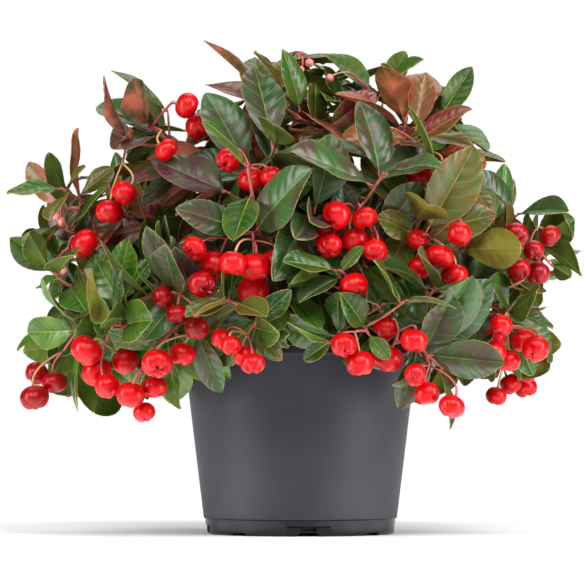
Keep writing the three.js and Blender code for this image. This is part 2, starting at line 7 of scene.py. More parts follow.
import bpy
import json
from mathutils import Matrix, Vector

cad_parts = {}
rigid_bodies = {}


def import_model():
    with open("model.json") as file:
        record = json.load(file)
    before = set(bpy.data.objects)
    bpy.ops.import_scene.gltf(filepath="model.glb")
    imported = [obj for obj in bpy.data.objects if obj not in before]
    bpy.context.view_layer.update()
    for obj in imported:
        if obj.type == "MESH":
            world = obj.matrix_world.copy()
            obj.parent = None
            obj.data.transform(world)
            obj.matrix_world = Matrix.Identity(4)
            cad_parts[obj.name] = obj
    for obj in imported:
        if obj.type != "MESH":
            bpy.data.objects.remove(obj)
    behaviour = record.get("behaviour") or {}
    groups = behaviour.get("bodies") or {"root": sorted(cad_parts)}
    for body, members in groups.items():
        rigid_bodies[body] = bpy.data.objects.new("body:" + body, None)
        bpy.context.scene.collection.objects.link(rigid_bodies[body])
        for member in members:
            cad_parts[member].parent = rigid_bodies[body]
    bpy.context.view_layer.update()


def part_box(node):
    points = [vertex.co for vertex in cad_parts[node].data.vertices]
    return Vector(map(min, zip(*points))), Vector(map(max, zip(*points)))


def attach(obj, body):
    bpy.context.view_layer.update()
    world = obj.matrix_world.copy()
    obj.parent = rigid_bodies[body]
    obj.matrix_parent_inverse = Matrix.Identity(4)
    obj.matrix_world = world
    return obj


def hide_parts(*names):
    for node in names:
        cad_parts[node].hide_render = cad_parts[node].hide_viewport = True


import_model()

# %% Modules and units
import json
import math

import bmesh
import bpy
import numpy as np
from mathutils import Vector, noise

MM = 0.001  # the plant's sizes are written in millimetres, and Blender's unit is the metre
FULL_TURN = 2 * math.pi

# %% [markdown]
# ## Camera
# A product photo is taken from far away with a long lens, so the plant hardly tapers with depth. The camera
# could be placed by eye, but the pot gives its place: the rim is 130 mm wide, and how much the rim's and the
# foot's edges curve tells how high the eye is. The lens follows from the distance and the picture's width.

# %% Camera at the photo's angle
PHOTO_SIDE = 584  # pixels
POT_AXIS_COLUMN = 300.3  # pixels from the left, where the pot's axis stands
MM_PER_PIXEL = 0.506  # at the pot's axis
EYE_DISTANCE = 1750
EYE_HEIGHT = 58
MIDDLE_ROW_HEIGHT = 122  # the height at the pot's axis that the picture's middle row shows
SENSOR_WIDTH = 36

sideways = (PHOTO_SIDE / 2 - POT_AXIS_COLUMN) * MM_PER_PIXEL
eye = Vector((sideways, -EYE_DISTANCE, EYE_HEIGHT)) * MM
aim = Vector((sideways, 0, MIDDLE_ROW_HEIGHT)) * MM
camera = bpy.data.objects.new("camera", bpy.data.cameras.new("camera"))
camera.location = eye
camera.rotation_euler = (aim - eye).to_track_quat("-Z", "Y").to_euler()
camera.data.sensor_width = SENSOR_WIDTH
camera.data.lens = SENSOR_WIDTH * (aim - eye).length / (PHOTO_SIDE * MM_PER_PIXEL * MM)
camera.data.clip_start = 0.05
bpy.context.scene.collection.objects.link(camera)
bpy.context.scene.camera = camera
print("lens in millimetres:", round(camera.data.lens, 1))

# %% [markdown]
# ## Colours and nodes
# Colours are picked as sRGB hex values, which is what a picture viewer shows, but a renderer adds up light,
# so one function turns them to linear values. A second small function adds a shader node with its settings
# and its links. Nearly all of the plant's finishes are patches of two colours under a fine relief, so those
# have a function each too, which keeps every material short enough to read.

# %% Colour and node helpers


def linear(hex_colour):
    """The linear colour of an sRGB hex value."""
    shares = [int(hex_colour[k : k + 2], 16) / 255 for k in (0, 2, 4)]
    return (*(c / 12.92 if c <= 0.04045 else ((c + 0.055) / 1.055) ** 2.4 for c in shares), 1.0)


def add_node(tree, kind, settings=None, inputs=None):
    """A node with its settings, and its inputs set to values or linked to other nodes' outputs."""
    node = tree.nodes.new(kind)
    for name, value in (settings or {}).items():
        setattr(node, name, value)
    for name, value in (inputs or {}).items():
        if isinstance(value, bpy.types.NodeSocket):
            tree.links.new(value, node.inputs[name])
        else:
            node.inputs[name].default_value = value
    return node


def new_material(name, **sockets):
    """A material with values on its shader's own sockets, its node tree and its shader."""
    material = bpy.data.materials.new(name)
    material.use_nodes = True
    shader = material.node_tree.nodes["Principled BSDF"]
    for socket, value in sockets.items():
        shader.inputs[socket.replace("_", " ")].default_value = value
    return material, material.node_tree, shader


def per_mm(size):
    """The scale that makes a texture's features about this many millimetres wide."""
    return 1 / (size * MM)


def patchy_material(name, patch, colours, ends, detail, **sockets):
    """A new material with soft patches of two colours, about as wide as a size in millimetres."""
    material, tree, shader = new_material(name, **sockets)
    place = add_node(tree, "ShaderNodeTexCoord").outputs["Object"]
    clouds = add_node(tree, "ShaderNodeTexNoise", None,
                      {"Vector": place, "Scale": per_mm(patch), "Detail": detail})
    ramp = add_node(tree, "ShaderNodeValToRGB", None, {"Fac": clouds.outputs["Fac"]})
    for stop, end, colour in zip(ramp.color_ramp.elements, ends, colours):
        stop.position = end
        stop.color = linear(colour)
    tree.links.new(ramp.outputs["Color"], shader.inputs["Base Color"])
    return material, tree, shader, place


def add_relief(tree, shader, place, size, depth, kind="ShaderNodeTexNoise", settings=None, strength=1.0,
               **inputs):
    """A relief from a texture's first output, with its width and its depth in millimetres."""
    texture = add_node(tree, kind, settings, {"Vector": place, "Scale": per_mm(size), **inputs})
    bump = add_node(tree, "ShaderNodeBump", None,
                    {"Height": texture.outputs[0], "Distance": depth * MM, "Strength": strength})
    tree.links.new(bump.outputs["Normal"], shader.inputs["Normal"])


# %% [markdown]
# ## Light and floor
# The pot in the photo has a broad sheen on each side and dark edges, so two large softboxes stood to the left
# and the right of the camera, over a white sweep. Softboxes alone would leave the far floor grey. Suns with a
# wide angle light the whole floor alike, so they give the general light and melt the floor into the white
# background. Two softboxes light the plant's sides. The pot's wall leans out, so it mirrors what lies low:
# two strips just above the floor, one on each side, give it the sheens.

# %% Soft studio light
SUN_DISTANCE = 3000  # only its direction counts
SUNS = {
    "right_sun": {"azimuth": 30, "height": 48, "width": 26, "strength": 1.6},
    "left_sun": {"azimuth": -26, "height": 44, "width": 26, "strength": 1.2},
    "front_sun": {"azimuth": 4, "height": 36, "width": 40, "strength": 0.85},
    "back_sun": {"azimuth": 165, "height": 62, "width": 50, "strength": 1.3},
}
SOFTBOXES = {
    "right_softbox": {"azimuth": 64, "distance": 1000, "middle": 360, "size": (220, 720), "watts": 9},
    "left_softbox": {"azimuth": -64, "distance": 1000, "middle": 360, "size": (220, 720), "watts": 7.5},
}
STRIPS = {"right_strip": 53, "left_strip": -53}  # azimuths
STRIP = {"near": 62, "far": 560, "width": 120, "height": 0.6, "watts": 0.36}
PLANT_MIDDLE = np.array([0, 0, 120])


def way_to(azimuth, climb):
    """The unit vector at an azimuth from the front and an angle above level."""
    turn, level = math.radians(azimuth), math.cos(math.radians(climb))
    return np.array([level * math.sin(turn), -level * math.cos(turn), math.sin(math.radians(climb))])


def add_lamp(name, kind, place, strength):
    """A lamp whose light goes from its place, in millimetres, towards the plant."""
    lamp = bpy.data.objects.new(name, bpy.data.lights.new(name, kind))
    lamp.location = Vector(place * MM)
    lamp.rotation_euler = Vector(place - PLANT_MIDDLE).to_track_quat("Z", "Y").to_euler()
    lamp.data.energy = strength
    bpy.context.scene.collection.objects.link(lamp)
    return lamp


def add_area(name, place, size, watts):
    """A rectangular lamp of a size in millimetres, which the camera doesn't see."""
    lamp = add_lamp(name, "AREA", place, watts)
    lamp.data.shape = "RECTANGLE"
    lamp.data.size, lamp.data.size_y = (side * MM for side in size)
    lamp.visible_camera = False
    return lamp


for name, sun in SUNS.items():
    lamp = add_lamp(name, "SUN", way_to(sun["azimuth"], sun["height"]) * SUN_DISTANCE, sun["strength"])
    lamp.data.angle = math.radians(sun["width"])
for name, box in SOFTBOXES.items():
    place = way_to(box["azimuth"], 0) * box["distance"] + (0, 0, box["middle"])
    add_area(name, place, box["size"], box["watts"])
for name, azimuth in STRIPS.items():
    place = way_to(azimuth, 0) * (STRIP["near"] + STRIP["far"]) / 2 + (0, 0, STRIP["height"])
    lamp = add_area(name, place, (STRIP["width"], STRIP["far"] - STRIP["near"]), STRIP["watts"])
    lamp.rotation_euler = (math.pi, 0, math.radians(azimuth))
print("lamps:", len(SUNS) + len(SOFTBOXES) + len(STRIPS))

# %% White surroundings
SKY_STRENGTH = 0.05  # of what lights the plant; the camera sees pure white

world = bpy.data.worlds.new("studio")
world.use_nodes = True
bpy.context.scene.world = world
sky = world.node_tree.nodes["Background"]
sky.inputs["Color"].default_value = (1, 1, 1, 1)
seen = add_node(world.node_tree, "ShaderNodeLightPath").outputs["Is Camera Ray"]
strength = add_node(world.node_tree, "ShaderNodeMapRange", None,
                    {"Value": seen, "To Min": SKY_STRENGTH, "To Max": 1.0})
world.node_tree.links.new(strength.outputs["Result"], sky.inputs["Strength"])
bpy.context.scene.view_settings.view_transform = "Standard"

# %% Pale floor
FLOOR_REACH = 30  # metres

floor_material, _, _ = new_material("pale_floor_paint", Roughness=0.9, Base_Color=linear("f4f4f4"))
corners = [(x * FLOOR_REACH, y * FLOOR_REACH, 0) for x, y in ((-1, -1), (1, -1), (1, 1), (-1, 1))]
floor_mesh = bpy.data.meshes.new("floor")
floor_mesh.from_pydata(corners, [], [(0, 1, 2, 3)])
floor_mesh.materials.append(floor_material)
floor = bpy.data.objects.new("floor", floor_mesh)
bpy.context.scene.collection.objects.link(floor)

# %% [markdown]
# ## Making meshes from arrays
# A plant is thousands of small shapes. Adding each as its own object would be slow and heavy, so every shape
# is worked out as arrays of points and faces, and shapes of one kind are gathered into one mesh at the end.

# %% Gathering shapes into one mesh


class Gathered:
    """Points, faces of four or three corners, and material numbers of many shapes."""

    def __init__(self):
        self.points = []
        self.faces = {4: [], 3: []}
        self.slots = {4: [], 3: []}
        self.count = 0

    def add(self, points, quads=None, triangles=None, slot=0):
        """Adds a shape, with one material number for all its faces or one for each."""
        for corners, faces in ((4, quads), (3, triangles)):
            if faces is not None:
                self.faces[corners].append(np.asarray(faces) + self.count)
                self.slots[corners].append(np.broadcast_to(slot, len(faces)))
        self.points.append(np.asarray(points, float).reshape(-1, 3))
        self.count += len(self.points[-1])

    def make(self, name, materials, slot, replaced=()):
        """One smooth mesh object in metres, which rides on the part's body."""
        mesh = bpy.data.meshes.new(name)
        points = np.concatenate(self.points) * MM
        mesh.vertices.add(len(points))
        mesh.vertices.foreach_set("co", points.astype(np.float32).ravel())
        kinds = [corners for corners in (4, 3) if self.faces[corners]]
        faces = [np.concatenate(self.faces[corners]) for corners in kinds]
        sizes = np.concatenate([np.full(len(f), corners) for corners, f in zip(kinds, faces)])
        slots = np.concatenate([np.concatenate(self.slots[corners]) for corners in kinds])
        face_points = np.concatenate([f.ravel() for f in faces])
        mesh.loops.add(int(sizes.sum()))
        mesh.loops.foreach_set("vertex_index", face_points.astype(np.int32))
        mesh.polygons.add(len(sizes))
        mesh.polygons.foreach_set("loop_start", (np.cumsum(sizes) - sizes).astype(np.int32))
        mesh.polygons.foreach_set("material_index", slots.astype(np.int32))
        mesh.polygons.foreach_set("use_smooth", np.ones(len(sizes), bool))
        mesh.update(calc_edges=True)
        mesh.validate()
        for material in materials:
            mesh.materials.append(material)
        return place_piece(bpy.data.objects.new(name, mesh), replaced)


def place_piece(piece, replaced=()):
    """Adds a finished object to the scene as a piece of the part."""
    if piece.name not in bpy.context.scene.collection.objects:
        bpy.context.scene.collection.objects.link(piece)
    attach(piece, "root")
    if replaced:
        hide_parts(*replaced)
    print(piece.name, "has", sum(len(p.vertices) - 2 for p in piece.data.polygons), "triangles")
    return piece


# %% Rings of points and the faces between them


def turns_round(sides):
    """The angles of points spread evenly round a circle."""
    return np.arange(sides) * FULL_TURN / sides


def ring_faces(rings, sides):
    """Quads between rings of points that each close on themselves."""
    ring, side = np.meshgrid(np.arange(rings - 1), np.arange(sides), indexing="ij")
    here, after = ring * sides + side, ring * sides + (side + 1) % sides
    return np.stack([here, after, after + sides, here + sides], -1).reshape(-1, 4)


def closing_fans(rings, sides):
    """Triangles that close the first and the last ring to two points, which follow the rings' points."""
    here = np.arange(sides)
    after = (here + 1) % sides
    last = (rings - 1) * sides
    first_pole = np.full(sides, rings * sides)
    return np.concatenate([np.stack([first_pole, after, here], -1),
                           np.stack([first_pole + 1, last + here, last + after], -1)])


# %% [markdown]
# ## The pot's plastic
# The pot is injection-moulded polypropylene. Its body comes from a finely spark-eroded mould, which leaves a
# soft grain that scatters light, and its foot and collar from a smoother one, which shines more. Both are one
# dark grey that the pigment makes slightly blue, but the smooth plastic is given a darker base, which is
# painted shade: the dark that its gloss mirrors. Noise as fine as the grain gives the bump, and slow patches
# in the colour stand for the flow of the melt and a little dust.

# %% Moulded plastic
GRAIN = 0.7  # mm; the real grain is half as coarse, and would not show
MELT_PATCH = 24  # mm


def moulded_plastic(name, low_hex, high_hex, roughness, gloss, grain_depth):
    """Polypropylene from a grained mould: dull light without sharp glints, a little uneven."""
    material, tree, shader, place = patchy_material(
        name, MELT_PATCH, (low_hex, high_hex), (0.3, 0.7), 4,
        Roughness=roughness, IOR=1.49, Specular_IOR_Level=gloss)
    add_relief(tree, shader, place, GRAIN, grain_depth, Detail=3.0, Roughness=0.65)
    return material


grained_plastic = moulded_plastic("grained_polypropylene", "282930", "2f3038", 0.46, 0.25, 0.05)
# the smooth plastic's darker base is painted shade, for the dark that its gloss mirrors
smooth_plastic = moulded_plastic("smooth_polypropylene", "111216", "17181d", 0.22, 0.25, 0.012)

# %% [markdown]
# ## The pot
# The real pot is one thin shell. A lathe is the natural way to make it: its section goes from the middle of
# the floor down and round the foot, up the body and the collar, over the lip and back down the inside. Arcs
# soften each corner, since a sharp edge would catch no light. The drain arches and notches are then cut out
# of it by boolean cutters, as the solids have them.

# %% Pot section
POT_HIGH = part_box("pot")[1] / MM
RIM = POT_HIGH.x
POT_HEIGHT = POT_HIGH.z
COLLAR_HEIGHT = 12.2
NECK = RIM - 6.3  # radius under the collar
WAIST = 48.8  # radius above the foot's band
FOOT = 47.6  # radius on the ground
BAND_HEIGHT = 7.8
WALL = 1.6
BASE_LIFT = 2.0  # of the floor, between the pad in its middle and the ring that the pot stands on
FLOOR_THICKNESS = 2.4
RING_WIDTH = 3.4
PAD_RADIUS = 15
POT_SIDES = 216


def rounded(points, steps=3, margin=0.25):
    """A section whose corners are rounded: each point is radius, height and how round it is.

    Each straight stretch gets a point close to both its ends, so that it is shaded as flat as it is.
    """
    smooth = []
    for i, (x, z, radius) in enumerate(points):
        here = Vector((x, z))
        if radius == 0 or i in (0, len(points) - 1):
            smooth.append(here)
            continue
        before = Vector(points[i - 1][:2]) - here
        after = Vector(points[i + 1][:2]) - here
        half = before.angle(after) / 2
        reach = min(radius / math.tan(half), 0.45 * before.length, 0.45 * after.length)
        start, end = here + before.normalized() * reach, here + after.normalized() * reach
        if before.length > 4 * (reach + margin):
            smooth.append(here + before.normalized() * (reach + margin))
        for k in range(steps + 1):
            share = k / steps
            smooth.append((1 - share) ** 2 * start + 2 * share * (1 - share) * here + share**2 * end)
        if after.length > 4 * (reach + margin):
            smooth.append(here + after.normalized() * (reach + margin))
    return smooth


collar_bottom = POT_HEIGHT - COLLAR_HEIGHT
floor_top = BASE_LIFT + FLOOR_THICKNESS
pot_section = rounded([
    (0, 0, 0),
    (PAD_RADIUS, 0, 0.5),
    (PAD_RADIUS + 0.8, BASE_LIFT, 0.5),
    (FOOT - RING_WIDTH, BASE_LIFT, 0.5),
    (FOOT - RING_WIDTH, 0, 0.5),
    (FOOT, 0, 1.5),
    (FOOT + 0.4, BAND_HEIGHT, 0.25),
    (WAIST, BAND_HEIGHT + 0.4, 0.35),
    (NECK, collar_bottom, 0.5),
    (RIM - 0.5, collar_bottom, 0.5),
    (RIM, POT_HEIGHT, 0.8),
    (RIM - WALL, POT_HEIGHT, 0.6),
    (RIM - WALL - 0.4, collar_bottom + WALL, 0.5),
    (NECK - WALL, collar_bottom + WALL, 0.5),
    (WAIST - WALL, floor_top, 1.0),
    (0, floor_top, 0),
])
print("points in the pot's section:", len(pot_section))

# %% Pot shell


def lathe(name, section, sides):
    """A turned object from a section that starts and ends on the axis."""
    turns = turns_round(sides)
    rings = np.array([[(p.x * math.cos(a), p.x * math.sin(a), p.y) for a in turns] for p in section[1:-1]])
    poles = [(0, 0, section[0].y), (0, 0, section[-1].y)]
    points = np.concatenate([rings.reshape(-1, 3), poles]) * MM
    faces = [*ring_faces(len(rings), sides).tolist(), *closing_fans(len(rings), sides).tolist()]
    mesh = bpy.data.meshes.new(name)
    mesh.from_pydata(points.tolist(), [], faces)
    piece = bpy.data.objects.new(name, mesh)
    bpy.context.scene.collection.objects.link(piece)
    return piece


pot = lathe("nursery_pot", pot_section, POT_SIDES)

# %% Cutters for the drain arches and notches
ARCH_WIDTH, ARCH_HEIGHT, ARCH_DEPTH = 22, 5, 0.6
VENT_BOTTOM, VENT_TOP, VENT_HEIGHT, VENT_REACH = 15, 8, 1.8, 6
DRAIN_WIDTH, DRAIN_LOW, DRAIN_HIGH, DRAIN_REACH, DRAIN_CORNER = 7.6, 2.6, 4.2, 8, 0.3
HOLE_INSET = 1
NOTCH_WIDTH, NOTCH_HEIGHT, NOTCH_CORNER = 8.6, 1.5, 0.4
BEYOND, UNDER = 4, -1  # how far cutters stand out of the foot, and where those that open downwards start
ARCH_TURN = 4.9
REPEATS = 4


def prism(name, outline, inner, outer, turn):
    """A cutter across the foot: an outline of width and height, from one distance to another."""
    count = len(outline)
    points = [(x * MM, -y * MM, z * MM) for y in (inner, outer) for x, z in outline]
    sides = [(k, (k + 1) % count, count + (k + 1) % count, count + k) for k in range(count)]
    mesh = bpy.data.meshes.new(name)
    mesh.from_pydata(points, [], [tuple(range(count))[::-1], tuple(range(count, 2 * count)), *sides])
    shape = bmesh.new()
    shape.from_mesh(mesh)
    bmesh.ops.recalc_face_normals(shape, faces=shape.faces)
    shape.to_mesh(mesh)
    shape.free()
    piece = bpy.data.objects.new(name, mesh)
    piece.rotation_euler.z = turn
    return piece


def rounded_box(width, low, high, corner=0.8, steps=3):
    """An outline with rounded upper corners."""
    points = [(-width / 2, low), (width / 2, low)]
    for side in (1, -1):
        for k in range(steps + 1):
            angle = math.pi / 2 * (k / steps if side == 1 else 1 - k / steps)
            points.append((
                side * (width / 2 - corner + corner * math.cos(angle)),
                high - corner + corner * math.sin(angle),
            ))
    return points


def foot_cutters():
    """The cutters of all arches and notches, in four turns."""
    vent = [(-VENT_BOTTOM / 2, UNDER), (VENT_BOTTOM / 2, UNDER),
            (VENT_TOP / 2, VENT_HEIGHT), (-VENT_TOP / 2, VENT_HEIGHT)]
    face = rounded_box(ARCH_WIDTH, UNDER, ARCH_HEIGHT)
    slot = rounded_box(DRAIN_WIDTH, DRAIN_LOW, DRAIN_HIGH, DRAIN_CORNER)
    hole = rounded_box(DRAIN_WIDTH, UNDER, floor_top - UNDER, DRAIN_CORNER)
    notch = rounded_box(NOTCH_WIDTH, UNDER, NOTCH_HEIGHT, NOTCH_CORNER)
    flat = math.sqrt((FOOT - ARCH_DEPTH) ** 2 - (ARCH_WIDTH / 2) ** 2)
    for i in range(REPEATS):
        turn = math.radians(ARCH_TURN) + i * FULL_TURN / REPEATS
        yield prism("vent", vent, FOOT - VENT_REACH, FOOT + VENT_REACH, turn)
        yield prism("face", face, flat, FOOT + BEYOND, turn)
        yield prism("slot", slot, FOOT - DRAIN_REACH, FOOT + BEYOND, turn)
        yield prism("hole", hole, FOOT - DRAIN_REACH, FOOT - RING_WIDTH - HOLE_INSET, turn)
        yield prism("notch", notch, FOOT - 2 * RING_WIDTH, FOOT + BEYOND, turn + math.pi / REPEATS)


# %% Cutting the foot
cutters = bpy.data.collections.new("cutters")
bpy.context.scene.collection.children.link(cutters)
for cutter in foot_cutters():
    cutters.objects.link(cutter)
cut = pot.modifiers.new("cut", "BOOLEAN")
cut.operation = "DIFFERENCE"
cut.operand_type = "COLLECTION"
cut.collection = cutters
cut.solver = "EXACT"
bpy.context.view_layer.update()
evaluated = pot.evaluated_get(bpy.context.evaluated_depsgraph_get())
cut_mesh = bpy.data.meshes.new_from_object(evaluated)
pot.modifiers.clear()
pot.data = cut_mesh
for cutter in list(cutters.objects):
    bpy.data.objects.remove(cutter)
bpy.data.collections.remove(cutters)
print("pot faces after cutting:", len(pot.data.polygons))

# %% Sharp edges and the two plastics of the pot
SHARP_ANGLE = math.radians(38)
BAND_TOP = BAND_HEIGHT + 0.3


def keep_sharp(mesh, angle):
    """Shades a mesh smooth apart from edges that bend more than an angle."""
    shape = bmesh.new()
    shape.from_mesh(mesh)
    for face in shape.faces:
        face.smooth = True
    for edge in shape.edges:
        edge.smooth = not (edge.is_manifold and edge.calc_face_angle() > angle)
    shape.to_mesh(mesh)
    shape.free()


keep_sharp(pot.data, SHARP_ANGLE)
pot.data.materials.clear()
for material in (grained_plastic, smooth_plastic):
    pot.data.materials.append(material)
for face in pot.data.polygons:  # the wall between the foot's band and the collar is grained
    middle = face.center / MM
    in_wall = math.hypot(middle.x, middle.y) > WAIST - 0.7
    is_body = in_wall and BAND_TOP < middle.z < collar_bottom + 0.1
    face.material_index = 0 if is_body else 1
place_piece(pot, ["pot"])

# %% [markdown]
# ## The plant's rule of growth
# The solids were grown by a rule: stems fan out of a round rootstock, each ends in a spray of leaves, and
# side twigs leave it at seeded angles. To add finer twigs and leaves that fit, the same rule is written again
# here and carried further. A stream of repeatable numbers stands for chance, so that each run grows the same
# plant.

# %% Sizes that the rule works with
GOLDEN_ANGLE = math.radians(137.508)
UP = np.array([0.0, 0.0, 1.0])
CLEAR = 0.3  # mm kept clear round the pot, and at a stem's foot
ROOM = 0.15  # mm kept free between two blocks
ROOTSTOCK = {"head_height": 101, "head_radius": 13}
# a bough is the first share of its stem's bend, which springs up before it arches over
BOUGH = {"share": 0.52, "spring": 0.55, "radius": 1.5, "steps": 4}
# the higher a mass stands, the steeper its stem leaves the rootstock, in degrees
CLIMB = {"heights": (88, 226), "angles": (26, 76), "apart": 16.5, "lowest": 20, "rounds": 80}
STEM = {"radius": 1.35, "steps": 2}
# side twigs leave the stem between two shares of it, at an angle in degrees, and turn up a little
TWIG = {"radius": 1.3, "length": (24, 38), "angle": (38, 62), "turn_up": 0.12, "from": 0.3, "to": 0.82,
        "foot": 0.1, "steps": 2}
# leaves start just below a spray's tip, a step apart, and open more from the first to the last, in degrees
SPRAY = {"top": 1.2, "step": 2.6, "open": (42, 96), "turn_up": 0.3, "shortest": 0.74, "full_size_from": 0.625,
         "side_scale": 0.95, "side_fewer": 2}
# how far a leaf may stray from the rule: degrees, and factors of its size and width
STRAY = {"turn": 17, "open": 9, "roll": 14, "size": (0.88, 1.1), "width": (0.9, 1.08)}
# shares of a leaf's length; the rim has the corners of its block, along the leaf and across
LEAF = {"half_width": 0.3, "droop": 0.1, "stalk": 0.08, "rim": ((0.32, 0.7), (0.7, 0.76)), "swell": 0.2}
OWN_SPACE = 70  # mm that a leaf may reach from the middle of its mass's stem
# places that leaves keep clear of, seen from the front: the pot's face, and gaps where the sky shows between
# the sprays; each has its left and right end, and its lowest and highest place
OPEN_PLACES = [
    (-58, -34, 0, 70),
    (-34, 42, 0, 84),
    (42, 60, 0, 62),
    (84, 112, 196, 222),
    (-70, -50, 212, 240),
    (-110, -98, 214, 240),
    (-48, -24, 241, 260),
    (-112, -88, 184, 194),
    (122, 150, 104, 128),
    (80, 126, 50, 76),
    (-84, -62, 50, 64),
    (-150, -132, 112, 132),
    (112, 134, 166, 186),
]

# %% The plan: named masses
# name, azimuth from the front, height and reach of the main spray, tint, leaf length, leaves, twigs, berries
MASSES = [
    ("front_left", -14, 147, 97, "deep", 44, 8, 2, 6),
    ("front_right", 14, 148, 94, "deep", 40, 8, 2, 5),
    ("front_high", -23, 180, 66, "deep", 46, 7, 2, 3),
    ("right_shoulder", 36, 146, 102, "olive", 50, 7, 2, 4),
    ("left_waist", -34, 116, 106, "deep", 36, 7, 2, 6),
    ("front_low_left", -12, 101, 108, "green", 32, 7, 1, 4),
    ("front_low_right", 17, 98, 110, "green", 34, 7, 2, 5),
    ("right_low", 34, 88, 108, "deep", 42, 7, 2, 6),
    ("left_low", -42, 90, 108, "fresh", 40, 8, 2, 6),
    ("left_skirt", -70, 101, 118, "fresh", 34, 7, 2, 5),
    ("right_skirt", 64, 109, 114, "green", 36, 7, 2, 5),
    ("left_tip", -86, 164, 120, "copper", 32, 8, 2, 2),
    ("left_hollow", -98, 138, 122, "green", 36, 7, 2, 4),
    ("right_tip", 88, 147, 122, "green", 36, 8, 2, 6),
    ("left_peak", -62, 203, 86, "bronze", 40, 8, 2, 2),
    ("right_peak", 86, 213, 62, "green", 38, 8, 2, 0),
    ("right_upper", 56, 183, 80, "copper", 38, 7, 2, 2),
    ("top_left", -50, 222, 24, "copper", 40, 8, 2, 0),
    ("top_right", 128, 226, 26, "green", 36, 8, 2, 0),
]
BACK_RINGS = [
    {"name": "back_low", "count": 5, "from": 112, "to": 252, "heights": (98, 108), "reach": 112, "leaf": 40,
     "berries": 4},
    {"name": "back_high", "count": 4, "from": 128, "to": 236, "heights": (166, 152), "reach": 92, "leaf": 44,
     "berries": 3},
]
BACK_LEAVES, BACK_TWIGS = 6, 3
BACK_TINTS = ("deep", "green", "olive", "copper", "fresh")

# %% Numbers and directions


def stream(*seeds):
    """A repeatable stream of numbers: each call gives one between low and high."""
    modulus, factor = 2147483647, 48271
    state = 1
    for seed in seeds:
        state = (state * factor + 7919 * (seed + 1)) % modulus

    def draw(low, high):
        nonlocal state
        state = state * factor % modulus
        return low + (high - low) * state / modulus

    return draw


def lerp(low, high, share):
    return low + (high - low) * share


def unit(v):
    return v / math.sqrt(v @ v)


def cross(a, b):
    return np.array([a[1] * b[2] - a[2] * b[1], a[2] * b[0] - a[0] * b[2], a[0] * b[1] - a[1] * b[0]])


def point_on(bend, share):
    """A point of a curve with one control point, as rows start, middle and end."""
    return (1 - share) ** 2 * bend[0] + 2 * share * (1 - share) * bend[1] + share**2 * bend[2]


def path_on(bend, shares):
    return [point_on(bend, share) for share in shares]


def heading(bend, share):
    """The unit direction of a bend at a share of it."""
    return unit(lerp(bend[1] - bend[0], bend[2] - bend[1], share))


def side_of(axis):
    """A unit vector square to an axis."""
    return unit(cross(axis, UP if abs(axis[2]) < 0.9 else np.array([1.0, 0.0, 0.0])))


def tilted(axis, angle, turn):
    """The direction that stands at an angle to an axis, turned round it."""
    side = side_of(axis)
    rise = cross(side, axis)
    return math.cos(angle) * axis + math.sin(angle) * (math.cos(turn) * side + math.sin(turn) * rise)


# %% Masses, their stems and the way that each leaves the rootstock


def plan_rows():
    """The masses of the front by name, and those of the back from their two rings."""
    names = ("name", "azimuth", "height", "reach", "tint", "leaf", "leaves", "twigs", "berries")
    rows = [dict(zip(names, row)) for row in MASSES]
    for ring in BACK_RINGS:
        for i in range(ring["count"]):
            rows.append({
                "name": f"{ring['name']}_{i + 1}",
                "azimuth": lerp(ring["from"], ring["to"], i / (ring["count"] - 1)),
                "height": ring["heights"][i % 2],
                "reach": ring["reach"],
                "tint": BACK_TINTS[len(rows) * 3 % len(BACK_TINTS)],
                "leaf": ring["leaf"],
                "leaves": BACK_LEAVES,
                "twigs": BACK_TWIGS,
                "berries": ring["berries"],
            })
    return rows


def first_way(row):
    """The way that a stem would leave the rootstock if there were no others."""
    low, high = CLIMB["heights"]
    return way_to(row["azimuth"], lerp(*CLIMB["angles"], (row["height"] - low) / (high - low)))


def spread_out(ways):
    """Unit vectors pushed apart in turn until none crowd, and none points too low."""
    least = math.radians(CLIMB["apart"])
    lowest = math.sin(math.radians(CLIMB["lowest"]))
    for _ in range(CLIMB["rounds"]):
        for i in range(len(ways)):
            for k in range(i + 1, len(ways)):
                angle = math.acos(max(-1.0, min(1.0, ways[i] @ ways[k])))
                if angle < least:
                    push = unit(ways[i] - ways[k]) * (least - angle) / 2
                    ways[i] = unit(ways[i] + push)
                    ways[k] = unit(ways[k] - push)
        for i, way in enumerate(ways):
            way[2] = max(way[2], lowest)
            ways[i] = unit(way)
    return ways


def bend_of(row, outwards):
    """The bend from the rootstock's head to the main spray: it springs up, then arches over."""
    end = way_to(row["azimuth"], 0) * row["reach"] + UP * row["height"]
    start = UP * ROOTSTOCK["head_height"] + outwards * (ROOTSTOCK["head_radius"] + CLEAR)
    middle = start + outwards * BOUGH["spring"] * math.dist(start, end)
    return np.array([start, middle, end])


masses = plan_rows()
furthest = 0
for index, (mass, way) in enumerate(zip(masses, spread_out([first_way(row) for row in masses]))):
    mass["index"] = index
    mass["bend"] = bend_of(mass, way)
    low, high = (np.array(corner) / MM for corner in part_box(f"bough_{mass['name']}"))
    bough_ends = path_on(mass["bend"], (0, BOUGH["share"]))
    furthest = max(furthest, np.abs((low + high) / 2 - np.mean(bough_ends, 0)).max())
print("masses:", len(masses), "furthest from its solid, in mm:", round(float(furthest), 1))

# %% [markdown]
# ## Room to grow
# Leaves of a real plant lie over each other but never pass through each other. Each leaf, berry and twig is
# therefore held as a block: the hull of a few points, swollen a little. Before anything grows, the nearest
# blocks are tested, first by the balls round them and then by narrowing the shortest vector between hulls.

# %% Blocks
MOST_BLOCKS = 6000

block_centres = np.zeros((MOST_BLOCKS, 3))
block_reaches = np.zeros(MOST_BLOCKS)
blocks = []


def block(points, swell, owner, kind):
    """What a piece of the plant fills: the hull of its points, swollen all round."""
    points = [tuple(p) for p in points]
    centre = tuple(sum(p[k] for p in points) / len(points) for k in range(3))
    radius = max(math.dist(p, centre) for p in points)
    return {"points": points, "centre": centre, "radius": radius, "swell": swell, "owner": owner,
            "kind": kind}


